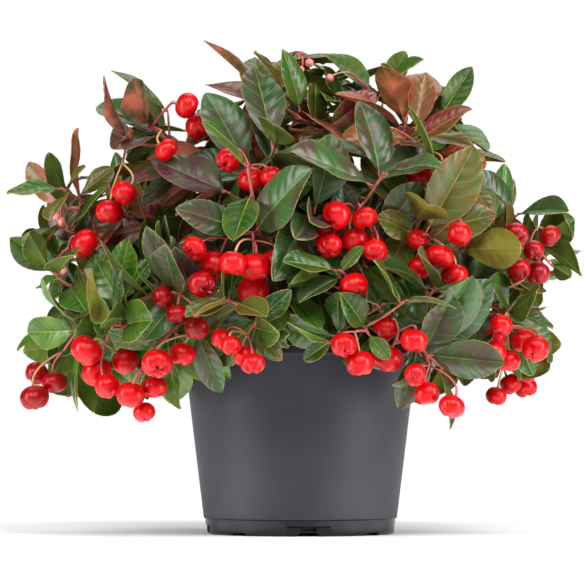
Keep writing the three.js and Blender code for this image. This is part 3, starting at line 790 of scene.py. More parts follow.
def fill(*made):
    for one in made:
        block_centres[len(blocks)] = one["centre"]
        block_reaches[len(blocks)] = one["radius"] + one["swell"]
        blocks.append(one)


def bend_blocks(bend, start, end, steps, radius, owner):
    """Straight blocks of wood along part of a bend."""
    ends = path_on(bend, [lerp(start, end, k / steps) for k in range(steps + 1)])
    return [block(pair, radius, owner, "wood") for pair in zip(ends, ends[1:])]


# %% The test for room
HULL_ROUNDS = 30  # after which two hulls count as touching

crown_corners = [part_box(f"foliage_{mass['name']}") for mass in masses]
CROWN_LOW = [min(low[k] for low, high in crown_corners) / MM for k in range(3)]
CROWN_HIGH = [max(high[k] for low, high in crown_corners) / MM for k in range(3)]


def apart(a, b, gap):
    """Whether two swollen hulls lie at least a gap apart."""
    x, y, z = (a["centre"][k] - b["centre"][k] for k in range(3))
    wanted = gap + a["swell"] + b["swell"]
    for _ in range(HULL_ROUNDS):
        near = min(a["points"], key=lambda p: p[0] * x + p[1] * y + p[2] * z)
        far = max(b["points"], key=lambda p: p[0] * x + p[1] * y + p[2] * z)
        nx, ny, nz = near[0] - far[0], near[1] - far[1], near[2] - far[2]
        length = math.sqrt(x * x + y * y + z * z)
        if nx * x + ny * y + nz * z >= wanted * length:
            return True
        if length < wanted:
            return False
        sx, sy, sz = nx - x, ny - y, nz - z
        size = sx * sx + sy * sy + sz * sz
        share = min(1.0, max(0.0, -(x * sx + y * sy + z * sz) / size)) if size else 0.0
        x, y, z = x + share * sx, y + share * sy, z + share * sz
    return False


def is_free(made_blocks, may_touch, room=ROOM):
    """Whether new blocks keep to the crown and clear of all that stands there already."""
    for made in made_blocks:
        for p in made["points"]:
            if any(not CROWN_LOW[k] < p[k] < CROWN_HIGH[k] for k in range(3)):
                return False
            if made["kind"] == "leaf" and any(
                    left < p[0] < right and low < p[2] < high for left, right, low, high in OPEN_PLACES):
                return False
        count = len(blocks)
        away = block_centres[:count] - made["centre"]
        gaps = np.sqrt((away * away).sum(1)) - block_reaches[:count]
        for k in np.nonzero(gaps < made["radius"] + made["swell"] + room)[0]:
            if not may_touch(blocks[k]) and not apart(made, blocks[k], room):
                return False
    return True


# %% The pot's block
POT_HULL_SIDES = 36

pot_hull = [(radius * math.cos(turn), radius * math.sin(turn), height)
            for turn in turns_round(POT_HULL_SIDES) for radius, height in ((RIM, POT_HEIGHT), (FOOT, 0))]
fill(block(pot_hull, CLEAR, "pot", "pot"))
print("crown from", [round(v) for v in CROWN_LOW], "to", [round(v) for v in CROWN_HIGH])

# %% [markdown]
# ## Stems, side twigs and finer twigs
# The stems and side twigs follow the solids. The finer twigs are what this lesson adds: shorter shoots that
# leave the stem and the side twigs where there is room, so that the crown fills up from inside as it does on
# a plant that has been clipped once.

# %% Twigs and their sprays
FINE_TWIG = {"radius": 0.8, "length": (13, 26), "angle": (40, 75), "turn_up": 0.15, "on_stem": (0.34, 0.97),
             "on_twig": (0.3, 0.75), "foot": 0.25, "steps": 1, "count": 5, "leaves": 4, "scale": 0.86}
FIRST_FINE = 11  # the stem is number 0 of its mass, side twigs count from 1 and finer twigs from here


def share_of(bend, length):
    """The share of a bend that a short length takes up at its bough's tip."""
    here, after = point_on(bend, BOUGH["share"]), point_on(bend, BOUGH["share"] + 0.01)
    return length / math.dist(here, after) / 100


def spray_at(mass, number, bend, straight_from, leaves, leaf_length):
    """The spray at the end of a bend, on the last straight stretch of its wood."""
    draw = stream(mass["index"], number, 2)
    axis = unit(bend[2] - point_on(bend, straight_from))
    return {"number": number, "tip": bend[2], "axis": axis, "faces": unit(axis + SPRAY["turn_up"] * UP),
            "turn": draw(0, FULL_TURN), "leaves": leaves, "leaf_length": leaf_length,
            "owner": f"{mass['name']}_{number}"}


def side_twig(mass, number):
    """The bend of a side twig, as on the solids."""
    draw = stream(mass["index"], number, 1)
    share = lerp(BOUGH["share"], 1, lerp(TWIG["from"], TWIG["to"], (number - 0.5) / mass["twigs"]))
    base = point_on(mass["bend"], share)
    turn = GOLDEN_ANGLE * number + draw(0, FULL_TURN)
    lean = math.radians(draw(*TWIG["angle"]))
    length = draw(*TWIG["length"])
    way = tilted(heading(mass["bend"], share), lean, turn)
    tip = base + way * length + UP * TWIG["turn_up"] * length
    return np.array([base, base + way * length / 2, tip])


def fine_twig(mass, number):
    """The bend of a short shoot from the outer half of the bough, the stem or a side twig."""
    draw = stream(mass["index"], number, 3)
    parents = [(mass["bend"], *FINE_TWIG["on_stem"])]
    parents += [(twig["bend"], *FINE_TWIG["on_twig"]) for twig in mass["wood"][1:]]
    bend, low, high = parents[0] if number % 3 else parents[number % len(parents)]
    share = draw(low, high)
    base = point_on(bend, share)
    way = tilted(heading(bend, share), math.radians(draw(*FINE_TWIG["angle"])), draw(0, FULL_TURN))
    length = draw(*FINE_TWIG["length"])
    return np.array([base, base + way * length / 2, base + way * length + UP * FINE_TWIG["turn_up"] * length])


def grow_twig(mass, number, bend, kind, sizes, may_touch, leaves, leaf_scale):
    """Adds a twig and its spray if there is room for its wood."""
    owner = f"{mass['name']}_{number}"
    made = bend_blocks(bend, sizes["foot"], 1, sizes["steps"], sizes["radius"], owner)
    if is_free(made, may_touch):
        fill(*bend_blocks(bend, 0, 1, 1, sizes["radius"], owner))
        mass["wood"].append({"bend": bend, "kind": kind, "owner": owner})
        mass["sprays"].append(spray_at(mass, number, bend, 0, leaves, mass["leaf"] * leaf_scale))


# %% Wood of every mass
for mass in masses:
    owner = f"bough_{mass['name']}"
    fill(*bend_blocks(mass["bend"], 0, BOUGH["share"], BOUGH["steps"], BOUGH["radius"], owner))
for mass in masses:
    start, owner = BOUGH["share"] + share_of(mass["bend"], CLEAR), f"{mass['name']}_0"
    fill(*bend_blocks(mass["bend"], start, 1, STEM["steps"], STEM["radius"], owner))
    mass["sprays"] = [spray_at(mass, 0, mass["bend"], (start + 1) / 2, mass["leaves"], mass["leaf"])]
    mass["wood"] = [{"bend": mass["bend"], "kind": "stem", "owner": owner}]
for mass in masses:
    for number in range(1, mass["twigs"] + 1):
        grow_twig(mass, number, side_twig(mass, number), "twig", TWIG,
                  lambda there: there["owner"] == f"{mass['name']}_0",
                  mass["leaves"] - SPRAY["side_fewer"], SPRAY["side_scale"])
print("sprays as on the solids:", sum(len(mass["sprays"]) for mass in masses))

# %% [markdown]
# ## Hanging the berries
# The berries hang in bunches from the leafy tips, outside the leaves below. They could be strewn over the
# crown, but the photo shows where each bunch hangs, so the front has a short list of bunches, and the back
# gets one below each of its main sprays. A bunch hangs from one shared stalk where that has room, and the
# stalk forks into one for each berry. Bunches are hung before any leaf is laid, and each berry keeps the
# space just in front of it clear, so that the leaves find their way round them, as they do on the plant.

# %% Where the bunches hang
# a berry's stalk ends in its dimple, hangs straight below its elbow, and its bare foot may touch others
BERRY = {"radius": (5.4, 7.1), "young": (2.0, 2.9), "stalk": 0.45, "dimple": 0.8, "elbow": 0.42, "bare": 0.3,
         "room": 0.1, "tries": 70}
# berries stand closer or looser round the middle of their bunch, which hangs below its foot on the wood;
# each follows its stalk and tilts a little, and keeps a stretch of sight free in front of it
BUNCH = {"tight": 3, "loose": 15, "below": 14, "longest": 30, "follow": 0.6, "tilt": 0.8, "sight": 13,
         "sight_share": 0.6, "grown": (0.92, 1.14), "knot": 8, "shared": 0.6, "radius": 0.7}
HANGS_FROM = {"stem": 0.6, "twig": 0.4, "last": 0.98, "steps": 8}  # shares of the wood

# azimuth from the front, height and reach of the bunch's middle, berries
BUNCHES = [
    (-45, 213, 80, 2),
    (-47, 190, 88, 1),
    (-58, 168, 105, 2),
    (-66, 141, 118, 2),
    (-16, 172, 88, 3),
    (-24, 134, 108, 3),
    (-12, 132, 108, 4),
    (-31, 109, 112, 4),
    (-27, 94, 113, 1),
    (-14, 87, 113, 4),
    (11, 91, 113, 2),
    (12, 118, 107, 1),
    (14, 146, 102, 7),
    (29, 196, 78, 1),
    (45, 178, 92, 2),
    (35, 135, 114, 6),
    (52, 143, 120, 1),
    (62, 138, 126, 7),
    (57, 89, 120, 6),
    (25, 95, 112, 3),
    (33, 71, 116, 3),
    (-74, 76, 128, 3),
    (-55, 80, 120, 4),
    (-44, 69, 115, 3),
    (-32, 82, 112, 2),
]
# the same for young berries, which are small and pale
YOUNG_BUNCHES = [
    (4, 236, 16, 2),
    (36, 230, 30, 1),
    (58, 186, 92, 3),
    (-86, 159, 122, 2),
    (-73, 130, 120, 1),
]
BACK_BUNCH = {"out": 7, "below": 22, "first": 100}  # the number of a back bunch is its mass's, from 100

# %% Hanging one bunch


def wood_places():
    """Points along the outer part of each stem and side twig, with their owners."""
    for mass in masses:
        for wood in mass["wood"]:
            for k in range(HANGS_FROM["steps"] + 1):
                share = lerp(HANGS_FROM[wood["kind"]], HANGS_FROM["last"], k / HANGS_FROM["steps"])
                yield {"point": point_on(wood["bend"], share), "owner": wood["owner"]}


def hang_bunch(number, middle, count, radii, hung):
    """Each berry takes the first free place, from the bunch's middle outwards, on its own stalk.

    Those stalks leave one shared stalk, which grows from the nearest wood where there is room.
    """
    outwards = unit(middle * (1, 1, 0))
    foot = min(places, key=lambda place: math.dist(place["point"], middle + UP * BUNCH["below"]))
    owner = foot["owner"]

    def on_its_wood(there):
        return there["owner"] == owner and there["kind"] in ("wood", "stalk")

    grown = stream(number, 9)(*BUNCH["grown"])
    knot = lerp(foot["point"], middle + UP * BUNCH["knot"], BUNCH["shared"])
    shared = block([foot["point"], knot], BUNCH["radius"], owner, "stalk")
    if is_free([shared], on_its_wood):
        fill(shared)
        bend = np.array([foot["point"], lerp(foot["point"], knot, 0.5) + UP, knot])
        shared_stalks.append({"bend": bend, "bunch": number})
    else:
        knot = foot["point"]
    for i in range(count):
        draw = stream(number, i, 4)
        radius = draw(*radii) * grown
        for k in range(BERRY["tries"]):
            spread = lerp(BUNCH["tight"], BUNCH["loose"], k / BERRY["tries"])
            centre = middle + spread * np.array([draw(-1, 1), draw(-1, 1), draw(-1, 1)])
            way = unit(centre - knot)
            lean = BUNCH["tilt"] * np.array([draw(-1, 1), draw(-1, 1), draw(-1, 1)])
            axis = unit(BUNCH["follow"] * way - UP + lean)
            end = centre - axis * radius * BERRY["dimple"]
            length = math.dist(knot, end)
            elbow = end - axis * BERRY["elbow"] * length
            berry = block([centre], radius, owner, "berry")
            line = [lerp(knot, elbow, BERRY["bare"]), elbow, end - axis]
            stalk = block(line, BERRY["stalk"], owner, "stalk")
            fits = length < BUNCH["longest"] and is_free(
                [berry], lambda there: there["kind"] == "sight", BERRY["room"])
            if fits and is_free([stalk], on_its_wood):
                ahead = [centre, centre + outwards * BUNCH["sight"]]
                fill(berry, stalk, block(ahead, radius * BUNCH["sight_share"], owner, "sight"))
                hung.append({"bend": np.array([knot, elbow, end]), "centre": centre, "axis": axis,
                             "radius": radius, "draw": draw, "bunch": number, "owner": owner})
                break


# %% Hanging all bunches
berries, young_berries, shared_stalks = [], [], []
places = list(wood_places())
for number, (azimuth, height, reach, count) in enumerate(BUNCHES + YOUNG_BUNCHES):
    is_young = number >= len(BUNCHES)
    hung, radii = (young_berries, BERRY["young"]) if is_young else (berries, BERRY["radius"])
    before = len(hung)
    hang_bunch(number, way_to(azimuth, 0) * reach + UP * height, count, radii, hung)
    print("bunch at", azimuth, height, "has", len(hung) - before, "of", count, "berries")
for mass in masses:
    if mass["name"].startswith("back"):
        below = way_to(mass["azimuth"], 0) * BACK_BUNCH["out"] - UP * BACK_BUNCH["below"]
        number = BACK_BUNCH["first"] + mass["index"]
        hang_bunch(number, mass["bend"][2] + below, mass["berries"], BERRY["radius"], berries)
print("berries:", len(berries), "and young ones:", len(young_berries))

# %% Finer twigs round the bunches
for mass in masses:
    numbers = range(FIRST_FINE, FIRST_FINE + FINE_TWIG["count"])
    family = {f"{mass['name']}_{number}" for number in range(numbers.stop)} | {f"bough_{mass['name']}"}
    for number in numbers:
        grow_twig(mass, number, fine_twig(mass, number), "fine", FINE_TWIG,
                  lambda there: there["owner"] in family and there["kind"] == "wood",
                  FINE_TWIG["leaves"], FINE_TWIG["scale"])
print("sprays with the finer twigs:", sum(len(mass["sprays"]) for mass in masses))

# %% [markdown]
# ## Laying leaves
# A leaf is first only laid: a root, a direction and a side that faces the light. Each tries its full size and
# its own place on the spiral, then a few turns to the side, and then smaller sizes, until it finds room.

# %% Laying one leaf
LEAF_SIZES = (1.28, 1.12, 0.97, 0.83, 0.7)  # factors, tried in turn
LEAF_TURNS = (0, 22, -22, 44, -44, 66, -66)  # degrees aside, tried at each size
EXTRA_LEAVES = 1  # real sprays have more leaves than the solids could afford


def lay_leaf(mass, spray, order, scale, aside):
    """One leaf: its root, its frame, its size in millimetres and the draws that shape its blade."""
    draw = stream(mass["index"], spray["number"], 10 + order)
    share = min(1.0, order / (spray["leaves"] - 1)) if spray["leaves"] > 1 else 0
    root = spray["tip"] - spray["axis"] * (SPRAY["top"] + SPRAY["step"] * order)
    turn = spray["turn"] + GOLDEN_ANGLE * order + math.radians(draw(-STRAY["turn"], STRAY["turn"]) + aside)
    opened = math.radians(lerp(*SPRAY["open"], share) + draw(-STRAY["open"], STRAY["open"]))
    direction = tilted(spray["faces"], opened, turn)
    roll = math.radians(draw(-STRAY["roll"], STRAY["roll"]))
    level = unit(spray["faces"] - direction * (spray["faces"] @ direction))
    face = math.cos(roll) * level + math.sin(roll) * cross(direction, level)
    grown = lerp(SPRAY["shortest"], 1, min(1.0, share / SPRAY["full_size_from"]))
    size = spray["leaf_length"] * grown * draw(*STRAY["size"]) * scale
    side = cross(direction, face)
    wing = LEAF["half_width"] * draw(*STRAY["width"])
    return {"root": root, "frame": np.array([direction, side, face]), "size": size, "wing": wing,
            "order": order, "draw": draw}


def leaf_at(leaf, along, sideways, lift):
    return leaf["root"] + (np.array([along, sideways, lift]) * leaf["size"]) @ leaf["frame"]


def leaf_block(leaf, owner):
    """The block of a leaf: its stalk's end, four points of its rim and its tip."""
    droop, wing = LEAF["droop"], leaf["wing"]
    rim = [leaf_at(leaf, a, way * wing * w, -droop * a * a) for way in (-1, 1) for a, w in LEAF["rim"]]
    points = [leaf_at(leaf, LEAF["stalk"], 0, 0), *rim, leaf_at(leaf, 1, 0, -droop)]
    return block(points, LEAF["swell"], owner, "leaf")


def find_room(mass, spray, order):
    """The first way of laying a leaf that keeps to its mass's space and touches only its own twig."""
    middle = point_on(mass["bend"], (1 + BOUGH["share"]) / 2)
    owner = spray["owner"]
    for scale in LEAF_SIZES:
        for aside in LEAF_TURNS:
            leaf = lay_leaf(mass, spray, order, scale, aside)
            made = leaf_block(leaf, owner)
            if any(math.dist(p, middle) >= OWN_SPACE for p in made["points"]):
                continue
            if is_free([made], lambda there: there["owner"] == owner and there["kind"] in ("wood", "leaf")):
                fill(made)
                return leaf
    return None


# %% Laying all leaves
leaves = []
for order in range(max(mass["leaves"] for mass in masses) + EXTRA_LEAVES):
    for mass in masses:
        for spray in mass["sprays"]:
            wanted = spray["leaves"] + (EXTRA_LEAVES if spray["number"] < FIRST_FINE else 0)
            leaf = find_room(mass, spray, order) if order < wanted else None
            if leaf:
                leaves.append({**leaf, "mass": mass, "spray": spray})
wood_in_use = {leaf["spray"]["owner"] for leaf in leaves}
wood_in_use |= {berry["owner"] for berry in berries + young_berries}
for mass in masses:
    mass["wood"] = [wood for wood in mass["wood"] if wood["kind"] == "stem" or wood["owner"] in wood_in_use]
print("leaves:", len(leaves), "blocks:", len(blocks))

# %% [markdown]
# ## Leaf skins
# Wintergreen leaves are leathery, with a waxy skin that reflects a soft lamp as a broad pale sheen. Cold
# nights turn many of them bronze or copper. Each tint is a plain base colour in two shades, dealt out by
# spray, with faint patches. The fine net of veins is a bump from the edges of small cells.

# %% Leaf materials
VEIN_NET = 1.3  # mm; the real net is finer, and would not show
LEAF_PATCH = 14  # mm
# two blades, the patches on them, side veins, midrib, margin and underside
TINTS = {
    "deep": ("26431b", "345526", "473729", "4c6e30", "7c8e40", "8e6249", "4e6022"),
    "green": ("1e4210", "2b5514", "465618", "4a7c24", "8a9c3a", "906e48", "5c6e24"),
    "fresh": ("264e0c", "336210", "547216", "568820", "98a83c", "968440", "5e7220"),
    "olive": ("36480f", "455214", "5c4a1c", "5e6a2c", "a67c40", "a06046", "7c7c26"),
    "bronze": ("422728", "553430", "384626", "2f1c1c", "8e6450", "84423e", "b4644a"),
    "copper": ("6a2020", "8c3822", "62521a", "985032", "c06c54", "9c5240", "bc6a4a"),
}
VEIN, RIB, MARGIN, UNDER = 2, 3, 4, 5  # material numbers; 0 and 1 are the two blades


def leaf_skin(name, low_hex, high_hex, roughness, net_depth):
    """Waxy leather: a broad soft sheen over a net of fine veins."""
    material, tree, shader, place = patchy_material(
        name, LEAF_PATCH, (low_hex, high_hex), (0.42, 0.66), 3,
        Roughness=roughness, IOR=1.45, Specular_IOR_Level=0.5)
    add_relief(tree, shader, place, VEIN_NET, net_depth, "ShaderNodeTexVoronoi",
               {"feature": "DISTANCE_TO_EDGE"}, 0.6)
    return material


leaf_materials = {}
for tint, (blade, second_blade, patch, vein, rib, margin, under) in TINTS.items():
    leaf_materials[tint] = [
        leaf_skin(f"{tint}_leaf_1", blade, patch, 0.31, 0.12),
        leaf_skin(f"{tint}_leaf_2", second_blade, patch, 0.31, 0.12),
        leaf_skin(f"{tint}_leaf_vein", vein, patch, 0.42, 0.06),
        leaf_skin(f"{tint}_leaf_rib", rib, vein, 0.45, 0.03),
        leaf_skin(f"{tint}_leaf_margin", margin, rib, 0.5, 0.03),
        leaf_skin(f"{tint}_leaf_underside", under, patch, 0.6, 0.1),
    ]
print("leaf materials:", sum(map(len, leaf_materials.values())))

# %% [markdown]
# ## The shape of a leaf
# A flat card with a picture of a leaf is the quick way, but it looks like paper from the side. Here a leaf is
# a closed shell a third of a millimetre thick. Its rows follow the side veins, which slant forward from the
# midrib, so that the blade can sink along each vein and swell between them. The faces along the veins and
# the margin take their own material.

# %% One leaf's grid
SIDE_VEINS = 5
VEIN_SHARES = [0.1 + 0.155 * k for k in range(SIDE_VEINS)]
VEIN_STRIP = 0.0046  # half of a side vein's width, as a share of the leaf
VEIN_SLANT = 0.25
LAST_FIELD_END = 0.87
THICKNESS = 0.34
ACROSS = np.array([0, 0.05, 0.5, 0.95, 1.0])  # the columns of one half: midrib, blade and margin


def leaf_rows():
    """Where the rows of a leaf lie, how far each swells between veins, and which are vein strips."""
    rows, swells, strips = [0.0], [0.0], []
    for share, after in zip(VEIN_SHARES, [*VEIN_SHARES[1:], LAST_FIELD_END]):
        strips.append(len(rows))
        rows += [share - VEIN_STRIP, share + VEIN_STRIP, lerp(share, after, 0.34), lerp(share, after, 0.68)]
        swells += [0.0, 0.0, 1.0, 0.9]
    rows += [LAST_FIELD_END, 0.94, 0.98, 1.0]
    swells += [0.25, 0.15, 0.0, 0.0]
    return np.array(rows), np.array(swells), strips


ROW_SHARES, ROW_SWELLS, STRIP_ROWS = leaf_rows()
ROW_FIELDS = np.searchsorted(VEIN_SHARES, ROW_SHARES)  # which field between two side veins a row lies in
ROWS, HALF_COLUMNS = len(ROW_SHARES), len(ACROSS) - 1
COLUMNS = 2 * HALF_COLUMNS + 1


def leaf_faces():
    """The faces of both sides and the rim of a leaf, with their material numbers."""
    row, column = np.meshgrid(np.arange(ROWS - 1), np.arange(COLUMNS - 1), indexing="ij")
    corner = (row * COLUMNS + column).ravel()
    top = np.stack([corner, corner + COLUMNS, corner + COLUMNS + 1, corner + 1], -1)
    is_rib = np.isin(column, (HALF_COLUMNS - 1, HALF_COLUMNS)).ravel()
    is_edge = np.isin(column, (0, COLUMNS - 2)).ravel()
    is_strip = np.isin(row, STRIP_ROWS).ravel()
    top_slots = np.where(is_edge, MARGIN, np.where(is_rib, RIB, np.where(is_strip, VEIN, 0)))
    below = ROWS * COLUMNS
    # the underside is split along the same diagonals as the top, so that neither pokes out of the other
    bottom = top[:, [0, 3, 2, 1]] + below
    bottom_slots = np.where(is_rib, RIB, UNDER)
    rim = np.array([
        *(r * COLUMNS for r in range(ROWS)),
        *((ROWS - 1) * COLUMNS + c for c in range(1, COLUMNS)),
        *(r * COLUMNS + COLUMNS - 1 for r in range(ROWS - 2, -1, -1)),
        *range(COLUMNS - 2, 0, -1),
    ])
    after = np.roll(rim, -1)
    edge = np.stack([rim, rim + below, after + below, after], -1)
    faces = np.concatenate([top, bottom, edge])
    return faces, np.concatenate([top_slots, bottom_slots, np.full(len(edge), MARGIN)])


LEAF_FACES, LEAF_SLOTS = leaf_faces()
print("faces of a leaf:", len(LEAF_FACES))

# %% One leaf's points
BLADE_RANGES = {  # what each leaf draws for itself
    "wedge": (0.82, 1.12),  # how slender it starts
    "point": (0.66, 0.96),  # how slender it ends
    "breadth": (0.72, 0.94),  # of the width that its block has
    "fold": (9, 30),  # degrees that each half rises from the midrib
    "curl": (0.1, 0.55),  # how much of that the margin gives back
    "droop": (0.02, 0.2),  # of the leaf's length, at its tip
    "twist": (-18, 18),  # degrees from foot to tip
    "wave": (0.2, 1.0),  # mm up and down at the margin
    "phase": (0, FULL_TURN),  # of the waves
    "quilt": (0.5, 0.9),  # mm that it swells between side veins, on a leaf of the length below
}
QUILTED_LENGTH = 44
HUMP = (0.4, 1.4)  # of the quilt, in each field between two side veins
UNEVEN = (-0.04, 0.04)  # how far the veins are shifted along the leaf
OFFSET = (-0.035, 0.035)  # and against those of the other half


def outline(share, base, tip):
    """The half width of a leaf along its length, at most 1: a wedge below, a little blunter above."""
    peak = base / (base + tip)
    top = peak**base * (1 - peak) ** tip
    return np.clip(share, 0, 1) ** base * np.clip(1 - share, 0, 1) ** tip / top


def leaf_points(leaf):
    """The points of one leaf in millimetres, from its size and its own draws."""
    draw, size = leaf["draw"], leaf["size"]
    form = {name: draw(*ends) for name, ends in BLADE_RANGES.items()}
    humps = np.array([draw(*HUMP) for _ in range(SIDE_VEINS + 1)])[ROW_FIELDS, None]
    uneven, offset = draw(*UNEVEN), draw(*OFFSET)
    s = ROW_SHARES[:, None]
    u = np.concatenate([ACROSS[:0:-1], ACROSS])[None, :]
    side = np.sign(np.arange(COLUMNS) - HALF_COLUMNS)[None, :]
    t = s + uneven * np.sin(FULL_TURN * s) + offset * side * np.sin(math.pi * s)
    t = t + VEIN_SLANT * u**1.1 * np.sin(math.pi * s) * (1 - 0.25 * s)
    # from the midrib out: columns at the rib's edge, in the blade, at the margin and on the rim
    width = 0.25 + leaf["wing"] * size * form["breadth"] * outline(t, form["wedge"], form["point"])
    rib = np.minimum(0.3 * (1 - 0.6 * t), 0.3 * width)
    edge = np.maximum(width - 0.2, 0.78 * width)
    across = np.select([u == 1, u == ACROSS[3], u == ACROSS[2], u == ACROSS[1]],
                       [width, edge, lerp(rib, edge, 0.52), rib], 0)
    tooth = 0.11 * (-1.0) ** np.arange(ROWS)[:, None] * (u == 1) * (t > 0.15) * (t < 0.97)
    x = side * (across + tooth)
    # up and down: fold and curl, the swelling between veins, the sunk midrib, and waves at the margin
    ratio = across / width
    fold = math.tan(math.radians(form["fold"]))
    quilt = form["quilt"] * size / QUILTED_LENGTH
    swell = quilt * humps * ROW_SWELLS[:, None] * np.clip(4 * ratio * (1.04 - ratio), 0, 1)
    z = fold * across - form["curl"] * across * ratio**2 * fold + swell - 0.16 * (u == 0)
    z = z + form["wave"] * np.sin(1.5 * FULL_TURN * t + form["phase"]) * ratio**2
    along = LEAF["stalk"] * size + (1 - LEAF["stalk"]) * size * t
    thick = THICKNESS * (1 - 0.45 * ratio) + 0.3 * (u == 0) * (1 - t)
    twist = math.radians(form["twist"]) * t
    shells = []
    for lift in (z, z - thick):
        sideways, up = x * np.cos(twist) - lift * np.sin(twist), x * np.sin(twist) + lift * np.cos(twist)
        shell = np.stack(np.broadcast_arrays(along, sideways, up - form["droop"] * size * t**2), -1)
        shells.append(shell.reshape(-1, 3))
    return leaf["root"] + np.concatenate(shells) @ leaf["frame"]


# %% Dealing out tints
NEIGHBOUR_TINTS = {"deep": ("green", "bronze"), "green": ("deep", "olive"), "fresh": ("green", "green"),
                   "olive": ("green", "copper"), "bronze": ("deep", "green"), "copper": ("green", "olive")}
ODD_SPRAYS = {"deep": 0.25, "green": 0.3, "fresh": 0.3, "olive": 0.3, "bronze": 0.5, "copper": 0.45}
ODD_LEAVES = 0.12  # the share of single leaves with a neighbouring tint, as ODD_SPRAYS is that of sprays


def one_of_two(draw):
    return int(draw(0, 1.999))


def tint_of(leaf):
    """A leaf's tint and shade: its mass's own, or now and then a neighbouring one."""
    mass, spray = leaf["mass"], leaf["spray"]
    by_spray = stream(mass["index"], spray["number"], 5)
    by_leaf = stream(mass["index"], spray["number"], 6, leaf["order"])
    tint = mass["tint"]
    if spray["number"] and by_spray(0, 1) < ODD_SPRAYS[tint]:
        tint = NEIGHBOUR_TINTS[tint][one_of_two(by_spray)]
    if by_leaf(0, 1) < ODD_LEAVES:
        tint = NEIGHBOUR_TINTS[tint][one_of_two(by_leaf)]
    return tint, one_of_two(by_leaf)


# %% Leaf pieces
LEAVES_A_PIECE = 150

piles = {}
for leaf in leaves:
    tint, shade = tint_of(leaf)
    pile = piles.setdefault(tint, [[]])
    if len(pile[-1]) == LEAVES_A_PIECE:
        pile.append([])
    pile[-1].append((leaf, shade))
for tint, pile in piles.items():
    stands_for = [f"foliage_{mass['name']}" for mass in masses if mass["tint"] == tint]
    for number, group in enumerate(pile, 1):
        gathered = Gathered()
        for leaf, shade in group:
            gathered.add(leaf_points(leaf), LEAF_FACES, slot=np.where(LEAF_SLOTS, LEAF_SLOTS, shade))
        gathered.make(f"leaves_{tint}_{number}", leaf_materials[tint], f"leaf_{tint}", stands_for)

# %% [markdown]
# ## Wood
# The stems are thin and wiry. Old wood is grey brown and cracked along its length; young twigs are smooth and
# reddish. A tube that follows each bend could be a curve object, but a mesh lets the bark swell at old leaf
# scars and crack between them, so the relief is real.

# %% Bark and young skin
BARK_CRACK = 1.6  # mm
BARK_PATCH = 5  # mm


def bark_skin(name, low_hex, high_hex, roughness, depth, stretch):
    """Thin bark: patches of two colours with fine cracks, which a stretch below 1 draws out upwards."""
    material, tree, shader, place = patchy_material(
        name, BARK_PATCH, (low_hex, high_hex), (0.35, 0.65), 5, Roughness=roughness)
    longer = add_node(tree, "ShaderNodeMapping", None, {"Vector": place, "Scale": (1, 1, stretch)})
    add_relief(tree, shader, longer.outputs["Vector"], BARK_CRACK, depth, Detail=4.0)
    return material


old_bark = bark_skin("old_bark", "5a4030", "8c6e4e", 0.85, 0.35, 0.35)
young_bark = bark_skin("young_red_bark", "8e5238", "bc7454", 0.55, 0.08, 0.5)
stalk_skin = bark_skin("red_stalk_skin", "a03a44", "ba5a54", 0.45, 0.03, 0.5)
tan_skin = bark_skin("tan_stalk_skin", "a07a48", "be8a62", 0.5, 0.03, 0.5)

# %% Tubes along bends


def tube(path, radii, sides, relief=None):
    """The points and faces of a closed tube along a path; relief gives a factor for each ring and side."""
    ways = np.gradient(np.asarray(path), axis=0)
    ways = ways / np.linalg.norm(ways, axis=1)[:, None]
    rings = []
    side = side_of(ways[0])
    turns = turns_round(sides)
    for ring, (point, way, radius) in enumerate(zip(path, ways, radii)):
        side = unit(side - way * (side @ way))
        rise = cross(way, side)
        reach = radius * (relief[ring] if relief is not None else 1)
        x, y = (reach * np.cos(turns))[:, None], (reach * np.sin(turns))[:, None]
        rings.append(point + x * side + y * rise)
    points = np.concatenate([*rings, path[:1], path[-1:]])
    return points, ring_faces(len(path), sides), closing_fans(len(path), sides)


def bark_relief(draw, rings, sides, step, depth):
    """Slow swellings, cracks along the length, and a ridge at each old leaf scar."""
    along = np.arange(rings)[:, None] * step
    turn = turns_round(sides)[None, :]
    phases = [draw(0, FULL_TURN) for _ in range(4)]
    cracks = np.sin(3 * turn + 0.35 * along + phases[0]) * np.sin(0.9 * along + phases[1])
    slow = np.sin(0.21 * along + phases[2])
    scars = np.exp(-(((along + 3 * phases[3]) % 9 - 4.5) ** 2) / 0.8)
    return 1 + depth * (0.5 * cracks + 0.4 * slow + 1.3 * scars)


def length_of(bend):
    return sum(math.dist(point_on(bend, k / 8), point_on(bend, (k + 1) / 8)) for k in range(8))


# %% Old stems and young twigs
# radius at the foot and the tip, sides, and millimetres between rings
WOOD_LOOKS = {"stem": (1.55, 0.85, 10, 1.4), "twig": (0.95, 0.65, 8, 1.8), "fine": (0.75, 0.5, 7, 2.2)}
OLD_SHARE = 0.62  # of a stem
OVERLAP = 0.02  # of old and young wood, so that no gap shows
OLD_RELIEF, YOUNG_RELIEF = 0.1, 0.07
INTO_ROOTSTOCK = 2.5


def wood_tube(bend, looks, start, end, draw, depth, swell):
    """A tube of wood along part of a bend, whose radius a function of the shares swells or narrows."""
    thick, thin, sides, step = looks
    shares = np.linspace(start, end, max(4, int(length_of(bend) * (end - start) / step)))
    relief = bark_relief(draw, len(shares), sides, step, depth)
    return tube(path_on(bend, shares), lerp(thick, thin, shares) * swell(shares), sides, relief)


def flared_foot(shares):
    return 1 + 0.5 * np.exp(-shares * 30)


def narrowed_tip(shares):
    return 1 - 0.6 * np.clip((shares - 0.97) / 0.03, 0, 1)


